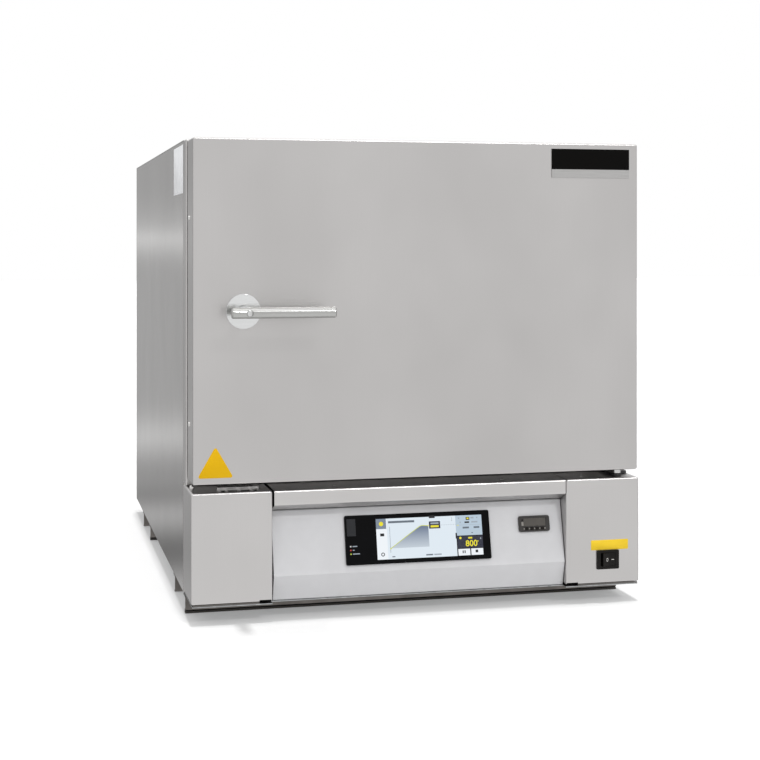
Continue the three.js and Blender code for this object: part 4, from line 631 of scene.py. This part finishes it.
# The sloping panel with its display, lights and limiter. Places are millimetres across from the casing's
# left, lift off the sheet, and up the slope.
panel = {"crease": (4.0, 64.0), "top": (26.1, 155.6), "glassFace": 3.3}
lean = math.atan((panel["top"][0] - panel["crease"][0]) / (panel["top"][1] - panel["crease"][1]))


# Points (across, lift, up) into the object's frame: they are turned about the crease by the panel's lean.
def onPanel(points):
    p = np.asarray(points, float)
    y = -p[:, 1]
    return np.stack([left + p[:, 0],
                     front + panel["crease"][0] + y * math.cos(lean) + p[:, 2] * math.sin(lean),
                     panel["crease"][1] - y * math.sin(lean) + p[:, 2] * math.cos(lean)], 1)


outward = onPanel([(0, 1, 0)])[0] - onPanel([(0, 0, 0)])[0]
screen = {"left": 273.0, "right": 435.0, "low": 16.15, "high": 74.9, "layer": 0.03, "thick": 0.03,
          "digitStroke": 0.028}
aspect = (screen["right"] - screen["left"]) / (screen["high"] - screen["low"])


# A flat prism from an outline in shares of the screen, counted from its upper left corner, on one of its
# layers. The outline is turned round where its area comes out below zero.
def tile(outline, layer):
    shares = np.asarray(outline, float)
    x = screen["left"] + shares[:, 0] * (screen["right"] - screen["left"])
    z = screen["high"] - shares[:, 1] * (screen["high"] - screen["low"])
    if np.sum(x * np.roll(z, -1) - np.roll(x, -1) * z) < 0:
        x, z = x[::-1], z[::-1]
    low = panel["glassFace"] + layer * screen["layer"]
    return prism(np.stack([x, z], 1), low, low + screen["thick"], onPanel)


def bar(s0, t0, s1, t1, layer):
    return tile([(s0, t0), (s1, t0), (s1, t1), (s0, t1)], layer)


# A ring's path: middle + half the size times (cosine, sine).
def ringPath(s, t, width, height, sides=16):
    a = np.arange(sides) * 2 * np.pi / sides
    return np.stack([s + width / 2 * np.cos(a), t + height / 2 * np.sin(a)], 1)


def disc(s, t, radius, layer, sides):
    return tile(ringPath(s, t, 2 * radius, 2 * radius * aspect, sides), layer)


# A stroke of even width along a path of shares: the path is moved to both sides by half the width, at right
# angles to the mean way of its two neighbouring stretches.
def stroke(path, width, layer, closed=False):
    p = np.asarray(path, float) * [aspect, 1.0]
    ahead = np.roll(p, -1, 0) - p
    if not closed:
        ahead[-1] = ahead[-2]
    behind = np.roll(ahead, 1, 0)
    if not closed:
        behind[0] = ahead[0]
    along = sum(way / np.linalg.norm(way, axis=1, keepdims=True) for way in (ahead, behind))
    normal = np.stack([-along[:, 1], along[:, 0]], 1)
    normal /= np.linalg.norm(normal, axis=1, keepdims=True)
    a, b = (p + normal * width / 2) / [aspect, 1.0], (p - normal * width / 2) / [aspect, 1.0]
    pieces = []
    for i in range(len(p) if closed else len(p) - 1):
        k = (i + 1) % len(p)
        pieces.append(tile([a[i], a[k], b[k], b[i]], layer))
    return gathered(pieces)


def digitZero(s, t, width, height, layer):
    return stroke(ringPath(s, t, width, height), screen["digitStroke"], layer, True)


# Two rings, the upper one narrower by a little.
def digitEight(s, t, width, height, layer):
    top = digitZero(s, t - height * 0.25, width * 0.85, height * 0.46, layer)
    low = digitZero(s, t + height * 0.23, width, height * 0.5, layer)
    return gathered([top, low])


finishes.update({
    "litWhite": litFilm("litWhite", "#f3f8fd", 0.95),
    "litPale": litFilm("litPaleBlue", "#e6f1fa", 0.92),
    "litSky": litFilm("litSkyCard", "#c3d6e6", 0.85),
    "litCell": litFilm("litGreyCell", "#8694a6", 0.8),
    "litNavy": litFilm("litNavyCard", "#20243a", 0.8),
    "litBlack": litFilm("litBlackMark", "#17191f", 0.6),
    "litGrey": litFilm("litGreyMark", "#6f7a86", 0.8),
    "litLight": litFilm("litLightMark", "#aeb9c4", 0.8),
    "litYellow": litFilm("litYellow", "#efe21c", 0.95),
    "litRamp": litFilm("litRampLine", "#cfd84a", 0.9),
    "litFill": litFilm("litRampFill", "#7f8da6", 0.8, ("#e6f1fa", 89.0 * mm, 123.0 * mm)),
})

# What the display shows, by finish: a ramp that rises to a level, two cards at the right, a reading of 800
# and two buttons. All places are shares of the screen; the last number of a bar is its layer.
picture = {
    "litWhite": [bar(0, 0, 0.1, 1, 1), bar(0.76, 0.832, 0.873, 0.995, 2),
                 bar(0.883, 0.832, 0.997, 0.995, 2)],
    "litPale": [bar(0.1, 0, 0.75, 1, 1)],
    "litSky": [bar(0.75, 0, 1, 0.5, 1)],
    "litNavy": [bar(0.757, 0.515, 1, 0.815, 1), bar(0.497, 0.115, 0.603, 0.295, 3)],
    "litCell": [bar(0, 0, 0.094, 0.25, 2)],
    "litBlack": [bar(0.5, -0.03, 0.556, 0.035, 2), bar(0.743, 0.43, 0.757, 0.57, 2),
                 bar(0.85, 0.045, 0.884, 0.12, 2), bar(0.035, 0.36, 0.072, 0.43, 2),
                 stroke(ringPath(0.052, 0.875, 0.028, 0.077, 12), 0.02, 2, True),
                 bar(0.8, 0.872, 0.81, 0.94, 3), bar(0.818, 0.872, 0.828, 0.94, 3),
                 bar(0.924, 0.868, 0.948, 0.935, 3), bar(0.836, 0.155, 0.88, 0.195, 2)]
                + [disc(0.714, t, 0.003, 2, 8) for t in (0.05, 0.08, 0.11)],
    "litGrey": [bar(0.114, 0.065, 0.36, 0.118, 2), bar(0.815, 0.285, 0.875, 0.33, 2),
                bar(0.92, 0.285, 0.975, 0.33, 2), bar(0.455, 0.918, 0.52, 0.952, 2),
                bar(0.895, 0.43, 0.91, 0.45, 2), stroke([(0.125, 0.2), (0.125, 0.84)], 0.008, 2),
                bar(0.137, 0.93, 0.165, 0.955, 2)],
    "litLight": [bar(0.9, 0.155, 0.96, 0.19, 2), bar(0.53, 0.918, 0.6, 0.952, 2),
                 bar(0.895, 0.05, 0.925, 0.085, 2), bar(0.95, 0.05, 0.962, 0.085, 2),
                 bar(0.775, 0.05, 0.787, 0.085, 2), bar(0.79, 0.155, 0.8, 0.19, 2),
                 bar(0.512, 0.145, 0.588, 0.185, 4), stroke([(0.752, 0.24), (0.99, 0.24)], 0.006, 2),
                 bar(0.975, 0.57, 0.985, 0.605, 2)]
                + [bar(s, 0.212, s + 0.012, 0.22, 2) for s in np.arange(0.612, 0.745, 0.022)],
    "litFill": [tile([(0.13, 0.735), (0.2, 0.6), (0.3, 0.42), (0.42, 0.215), (0.49, 0.22),
                      (0.49, 0.735)], 2)],
    "litRamp": [stroke([(0.128, 0.74), (0.2, 0.605), (0.3, 0.418), (0.405, 0.228), (0.43, 0.205),
                        (0.49, 0.218)], 0.016, 3),
                disc(0.128, 0.742, 0.007, 3, 12)],
    "litYellow": [disc(0.048, 0.125, 0.02, 3, 16), bar(0.512, 0.215, 0.588, 0.265, 4),
                  bar(0.858, 0.06, 0.876, 0.1, 3), digitEight(0.852, 0.7, 0.026, 0.13, 2),
                  digitZero(0.89, 0.7, 0.026, 0.13, 2), digitZero(0.928, 0.7, 0.026, 0.13, 2),
                  stroke(ringPath(0.952, 0.655, 0.009, 0.024, 10), 0.01, 2, True),
                  disc(0.787, 0.56, 0.011, 2, 14), bar(0.862, 0.545, 0.9, 0.585, 2),
                  bar(0.76, 0.235, 0.782, 0.248, 3), disc(0.49, 0.218, 0.006, 4, 10)],
}
shapes = [each for tiles in picture.values() for each in tiles]
finishIndex = [i for i, tiles in enumerate(picture.values()) for each in tiles for face in each[1]]
makePiece("display_picture", *gathered(shapes), list(picture), "black_glass", "cabinet", 30, finishIndex)
print("display drawn with", len(shapes), "shapes")


# A flat bar on the panel between two places (across, up), from the lower to the upper lift.
def slab(x0, z0, x1, z1, low, high):
    return prism([(x0, z0), (x1, z0), (x1, z1), (x0, z1)], low, high, onPanel)


statusLights = {"across": 233.6, "up": [37.0, 31.6, 26.2], "radius": 1.1, "sunk": 0.05,
                "colours": ["#e8e8e6", "#d8392c", "#c6d83a"]}
radius = statusLights["radius"]
domeProfile = [(radius, 0), (radius, 0.1), (radius * 0.7, 0.3), (0.05, 0.36)]
for i, (up, colour) in enumerate(zip(statusLights["up"], statusLights["colours"])):
    name = "status_light_%d" % (i + 1)
    finishes[name] = litFilm("statusLens%d" % (i + 1), colour, 0.8)
    centre = onPanel([(statusLights["across"], panel["glassFace"] - statusLights["sunk"], up)])[0]
    makePiece(name, *turnedSurface(domeProfile, centre, outward, 16), name, "black_glass", "cabinet")

statusBars = {"across": 236.4, "half": 0.7, "widths": [7.0, 2.6, 10.5], "sunk": 0.02, "proud": 0.03}
x, half = statusBars["across"], statusBars["half"]
low, high = panel["glassFace"] - statusBars["sunk"], panel["glassFace"] + statusBars["proud"]
bars = [slab(x, up - half, x + width, up + half, low, high)
        for up, width in zip(statusLights["up"], statusBars["widths"])]
makePiece("status_bars", *gathered(bars), "litLight", "black_glass", "cabinet", 30)

# The limiter's window and beside it a strip of the bezel, with a small lamp and a pale grey patch; between
# the keys stand five pale grey marks. Names that end in In count from the body's left, those in Drop from
# its top.
limiter = {"low": 46.4, "high": 70.0, "face": 3.3, "keyPitch": 8.2, "recessIn": 6.0, "recessDepth": 1.4,
           "recessDrop": (3.4, 15.6), "windowIn": 7.9, "windowFromRight": 6.2, "windowGap": 0.2,
           "windowDepth": (1.5, 0.5), "stripGap": 0.05, "stripToWindow": 0.1}
limiterLamp = {"in": 5.7, "drop": 5.8, "radius": 1.45, "rim": 0.2, "top": 0.45}
limiterMarks = {"patchDrop": (8.8, 14.6), "patchWide": 3.2, "mark": 1.9, "markUp": 4.5, "sunk": 0.02,
                "proud": 0.06}
limiterLeft, limiterRight = [corner[0] - left for corner in boxOf("limiter_body")]
recessHigh, recessLow = [limiter["high"] - drop for drop in limiter["recessDrop"]]
windowLeft = limiterLeft + limiter["windowIn"]
windowBack, windowFront = [limiter["face"] - depth for depth in limiter["windowDepth"]]
pane = slab(windowLeft, recessLow + limiter["windowGap"], limiterRight - limiter["windowFromRight"],
            recessHigh - limiter["windowGap"], windowBack, windowFront)
makePiece("limiter_window", *pane, "window", "black_plastic", "cabinet", 30)

strip = slab(limiterLeft + limiter["recessIn"] + limiter["stripGap"], recessLow + limiter["stripGap"],
             windowLeft - limiter["stripToWindow"], recessHigh - limiter["stripGap"],
             limiter["face"] - limiter["recessDepth"], limiter["face"])
makePiece("limiter_strip", *strip, "bezel", "black_plastic", "cabinet", 30)

lampX = limiterLeft + limiterLamp["in"]
markLow, markHigh = limiter["face"] - limiterMarks["sunk"], limiter["face"] + limiterMarks["proud"]
lens = turnedSurface([(limiterLamp["radius"], 0), (limiterLamp["radius"], limiterLamp["rim"]),
                      (0.05, limiterLamp["top"])],
                     onPanel([(lampX, markLow, limiter["high"] - limiterLamp["drop"])])[0], outward, 16)
makePiece("limiter_lamp", *lens, "lamp", "black_plastic", "cabinet")

patchHigh, patchLow = [limiter["high"] - drop for drop in limiterMarks["patchDrop"]]
half = limiterMarks["patchWide"] / 2
marks = [slab(lampX - half, patchLow, lampX + half, patchHigh, markLow, markHigh)]
markZ = limiter["low"] + limiterMarks["markUp"]
half = limiterMarks["mark"] / 2
for i in range(-2, 3):
    x = (limiterLeft + limiterRight) / 2 + i * limiter["keyPitch"]
    marks.append(slab(x - half, markZ - half, x + half, markZ + half, markLow, markHigh))
makePiece("limiter_pale_marks", *gathered(marks), "legend", "black_plastic", "cabinet", 30)
print("panel fitted")

# Marks on the rocker: 0 and I, filled with white paint
rockerMarks = {"pivot": (0.2893, -0.461125, 0.06495), "width": 20.6, "tilt": 9.0, "faceOut": 7.0,
               "sunk": 0.02, "proud": 0.06, "zeroAt": -2.6, "zeroHalf": (1.6, 2.7), "zeroHole": 0.72,
               "zeroSides": 20, "oneFrom": 4.6, "oneTo": 8.4, "oneHalf": 0.45}


# Points (across, lift, up) on the rocker's two wings, which fall off from its middle and lean with it.
def onRocker(points):
    p = np.asarray(points, float)
    turn = math.radians(rockerMarks["tilt"])
    half = rockerMarks["width"] / 2
    x = p[:, 0]
    y = -rockerMarks["faceOut"] + half * math.tan(turn) * (1 - np.abs(x) / half) - p[:, 1]
    px, py, pz = np.array(rockerMarks["pivot"]) / mm
    return np.stack([px + x * math.cos(turn) - y * math.sin(turn),
                     py + x * math.sin(turn) + y * math.cos(turn), pz + p[:, 2]], 1)


# The 0 is a ring of short prisms between two ellipses.
sides, middle = rockerMarks["zeroSides"], (rockerMarks["zeroAt"], 0)
a = np.arange(sides + 1) * 2 * np.pi / sides
ellipse = np.stack([np.cos(a), np.sin(a)], 1) * rockerMarks["zeroHalf"]
outer = ellipse + middle
inner = ellipse * rockerMarks["zeroHole"] + middle
low, high = -rockerMarks["sunk"], rockerMarks["proud"]
zero = [prism([inner[i], outer[i], outer[i + 1], inner[i + 1]], low, high, onRocker)
        for i in range(sides)]
makePiece("rocker_mark_zero", *gathered(zero), "paint", "gloss_black_plastic", "rocker", 30)
x0, x1, half = rockerMarks["oneFrom"], rockerMarks["oneTo"], rockerMarks["oneHalf"]
one = prism([(x0, -half), (x1, -half), (x1, half), (x0, half)], low, high, onRocker)
makePiece("rocker_mark_one", *one, "paint", "gloss_black_plastic", "rocker", 30)
print("rocker marked")

# Screw in the recess at the lever's turned end
leverScrew = {"fromEnd": 24.9, "behindFace": 3.0, "radius": 4.6, "height": 1.6, "socket": 2.4, "sunk": 0.9}
leverLow, leverHigh = boxOf("lever_tube")
screwAt = (leverLow[0] + leverScrew["fromEnd"], leverLow[1] + leverScrew["behindFace"],
           (leverLow[2] + leverHigh[2]) / 2)
makePiece("lever_screw", *socketScrew(screwAt, (0, -1, 0), leverScrew, leverScrew["sunk"]), "bright",
          "bright_steel", "lever")
print("lever screwed on")

# Camera, floor, room and lamps, in metres and degrees
stage = {
    "cameraPlace": (-0.5885, -2.6202, 0.5415), "cameraTurn": (90.0, 0.0, -13.65), "lens": 72.14,
    "sensor": 36.0, "shiftY": -0.1788, "farthest": 60.0,
    "floorSize": 40.0, "floorLow": 0.0005, "floorDiffuse": "#bcbcbc", "floorGlow": 0.225,
    "roomDiffuse": 1.0, "roomShine": 1.15, "brightest": 2.0, "lowestSine": -0.5, "facingMix": 0.2,
    "overheadPower": 2.7, "overheadHigh": 200.0, "overheadSize": (5.6, 24.0), "overheadTilt": (0.5, 0.2),
    "keyPower": 0.75, "keySpread": 4.0, "keyTurn": (52.0, 0.0, 20.0),
}
cameraData = bpy.data.cameras.new("photoCamera")
cameraData.lens = stage["lens"]
cameraData.sensor_width = stage["sensor"]
cameraData.shift_y = stage["shiftY"]
cameraData.clip_end = stage["farthest"]
camera = newObject("photoCamera", cameraData)
camera.location = stage["cameraPlace"]
camera.rotation_euler = [math.radians(v) for v in stage["cameraTurn"]]
scene.camera = camera
scene.view_settings.view_transform = "Standard"

# White paper on the floor: it takes the shadow, glows a little to the camera and lets metal see the room.
floorMaterial, tree = newMaterial("whiteStudioFloor")
toCamera = addNode(tree, "ShaderNodeLightPath", give="Is Camera Ray")
toMetal = addNode(tree, "ShaderNodeLightPath", give="Is Glossy Ray")
glow = addNode(tree, "ShaderNodeMath", {"operation": "MULTIPLY", 0: toCamera, 1: stage["floorGlow"]})
paper = addNode(tree, "ShaderNodeBsdfDiffuse", {"Color": stage["floorDiffuse"]})
light = addNode(tree, "ShaderNodeEmission", {"Strength": glow})
both = addNode(tree, "ShaderNodeAddShader", {0: paper, 1: light})
clear = addNode(tree, "ShaderNodeBsdfTransparent")
shown = addNode(tree, "ShaderNodeMixShader", {0: toMetal, 1: both, 2: clear})
addNode(tree, "ShaderNodeOutputMaterial", {"Surface": shown})
half, low = stage["floorSize"] / 2, -stage["floorLow"]
floorMesh = bpy.data.meshes.new("floor")
floorMesh.from_pydata([(-half, -half, low), (half, -half, low), (half, half, low), (-half, half, low)], [],
                      [(0, 1, 2, 3)])
floorMesh.materials.append(floorMaterial)
newObject("floor", floorMesh)

# The room: white where the camera sees it. What metal reflects is given by elevation, in degrees and
# brightness: the pale floor low down, then soft bands, one set before the furnace and one behind it.
world = bpy.data.worlds.new("studioRoom")
scene.world = world
world.use_nodes = True
tree = world.node_tree
tree.nodes.clear()
ahead = addNode(tree, "ShaderNodeTexCoord", give="Generated")
rise = addNode(tree, "ShaderNodeSeparateXYZ", {"Vector": ahead}, "Z")
depth = addNode(tree, "ShaderNodeSeparateXYZ", {"Vector": ahead}, "Y")
sine = addNode(tree, "ShaderNodeMapRange", {"Value": rise, "From Min": stage["lowestSine"]})


# A ramp over the sine of the elevation, from the lowest one to straight up.
def bands(stops):
    colour = addNode(tree, "ShaderNodeValToRGB", {"Fac": sine})
    ramp = colour.node.color_ramp
    for i, (elevation, value) in enumerate(stops):
        place = (math.sin(math.radians(elevation)) - stage["lowestSine"]) / (1 - stage["lowestSine"])
        stop = ramp.elements[i] if i < 2 else ramp.elements.new(place)
        stop.position = place
        stop.color = (*[value / stage["brightest"]] * 3, 1)
    return colour


before = bands([
    (-30, 0.9), (90, 1.9), (-16, 0.9), (-13, 0.89), (-11, 0.84), (-9.4, 0.79), (-8.2, 0.65), (-6.6, 0.6),
    (-4.7, 0.78), (-3.4, 0.88), (-1.5, 0.89), (1.5, 0.885), (3.5, 0.81), (10, 0.79), (25, 0.72), (48, 0.8),
    (65, 1.25), (75, 1.7)])
behind = bands([
    (-30, 0.5), (90, 1.8), (-12.8, 0.5), (-12.4, 0.43), (-12.1, 0.35), (-11.8, 0.19), (-11.4, 0.14),
    (-11.0, 0.14), (-10.7, 0.24), (-10.4, 0.36), (-10.0, 0.56), (-9.3, 0.19), (-8.9, 0.32), (-8.3, 0.32),
    (-8.0, 0.37), (-7.7, 0.47), (-7.1, 0.66), (-6.7, 0.54), (-6.3, 0.45), (-5.8, 0.41), (-0.8, 0.41),
    (-0.3, 0.49), (0.2, 0.79), (0.5, 0.54), (0.9, 0.46), (1.4, 0.42), (1.9, 0.39), (3.5, 0.39), (7, 0.42),
    (14, 0.75), (40, 1.0)])
facing = addNode(tree, "ShaderNodeMapRange", {
    "Value": depth, "From Min": -stage["facingMix"], "From Max": stage["facingMix"]})
mirrored = addNode(tree, "ShaderNodeMix", {"data_type": "RGBA", 0: facing, 6: before, 7: behind}, 2)
seenRoom = addNode(tree, "ShaderNodeBackground", {"Color": "#ffffff"})
softRoom = addNode(tree, "ShaderNodeBackground", {"Color": "#ffffff", "Strength": stage["roomDiffuse"]})
shineRoom = addNode(tree, "ShaderNodeBackground", {
    "Color": mirrored, "Strength": stage["roomShine"] * stage["brightest"]})
toCamera = addNode(tree, "ShaderNodeLightPath", give="Is Camera Ray")
toMetal = addNode(tree, "ShaderNodeLightPath", give="Is Glossy Ray")
unseen = addNode(tree, "ShaderNodeMixShader", {0: toMetal, 1: softRoom, 2: shineRoom})
room = addNode(tree, "ShaderNodeMixShader", {0: toCamera, 1: unseen, 2: seenRoom})
addNode(tree, "ShaderNodeOutputWorld", {"Surface": room})


# Two lamps. The one straight above is a long soft box whose shadows are crisp across the furnace and soft
# along it; metal does not mirror it. The other is a softer sun from the front right.
def hungLamp(light, power, turn, place, mirrored):
    light.energy = power
    holder = newObject(light.name, light)
    holder.location = place
    holder.rotation_euler = [math.radians(v) for v in turn]
    holder.visible_glossy = mirrored


softBox = bpy.data.lights.new("overheadLight", "AREA")
softBox.shape = "RECTANGLE"
softBox.size, softBox.size_y = stage["overheadSize"]
tiltX, tiltY = [math.radians(v) for v in stage["overheadTilt"]]
above = [stage["overheadHigh"] * v for v in (math.sin(tiltY), -math.sin(tiltX), 1.0)]
overheadWatts = stage["overheadPower"] * math.pi * stage["overheadHigh"] ** 2
hungLamp(softBox, overheadWatts, (*stage["overheadTilt"], 0.0), above, False)
keySun = bpy.data.lights.new("frontLight", "SUN")
keySun.angle = math.radians(stage["keySpread"])
hungLamp(keySun, stage["keyPower"], stage["keyTurn"], (0, 0, 0), True)
print("stage set")
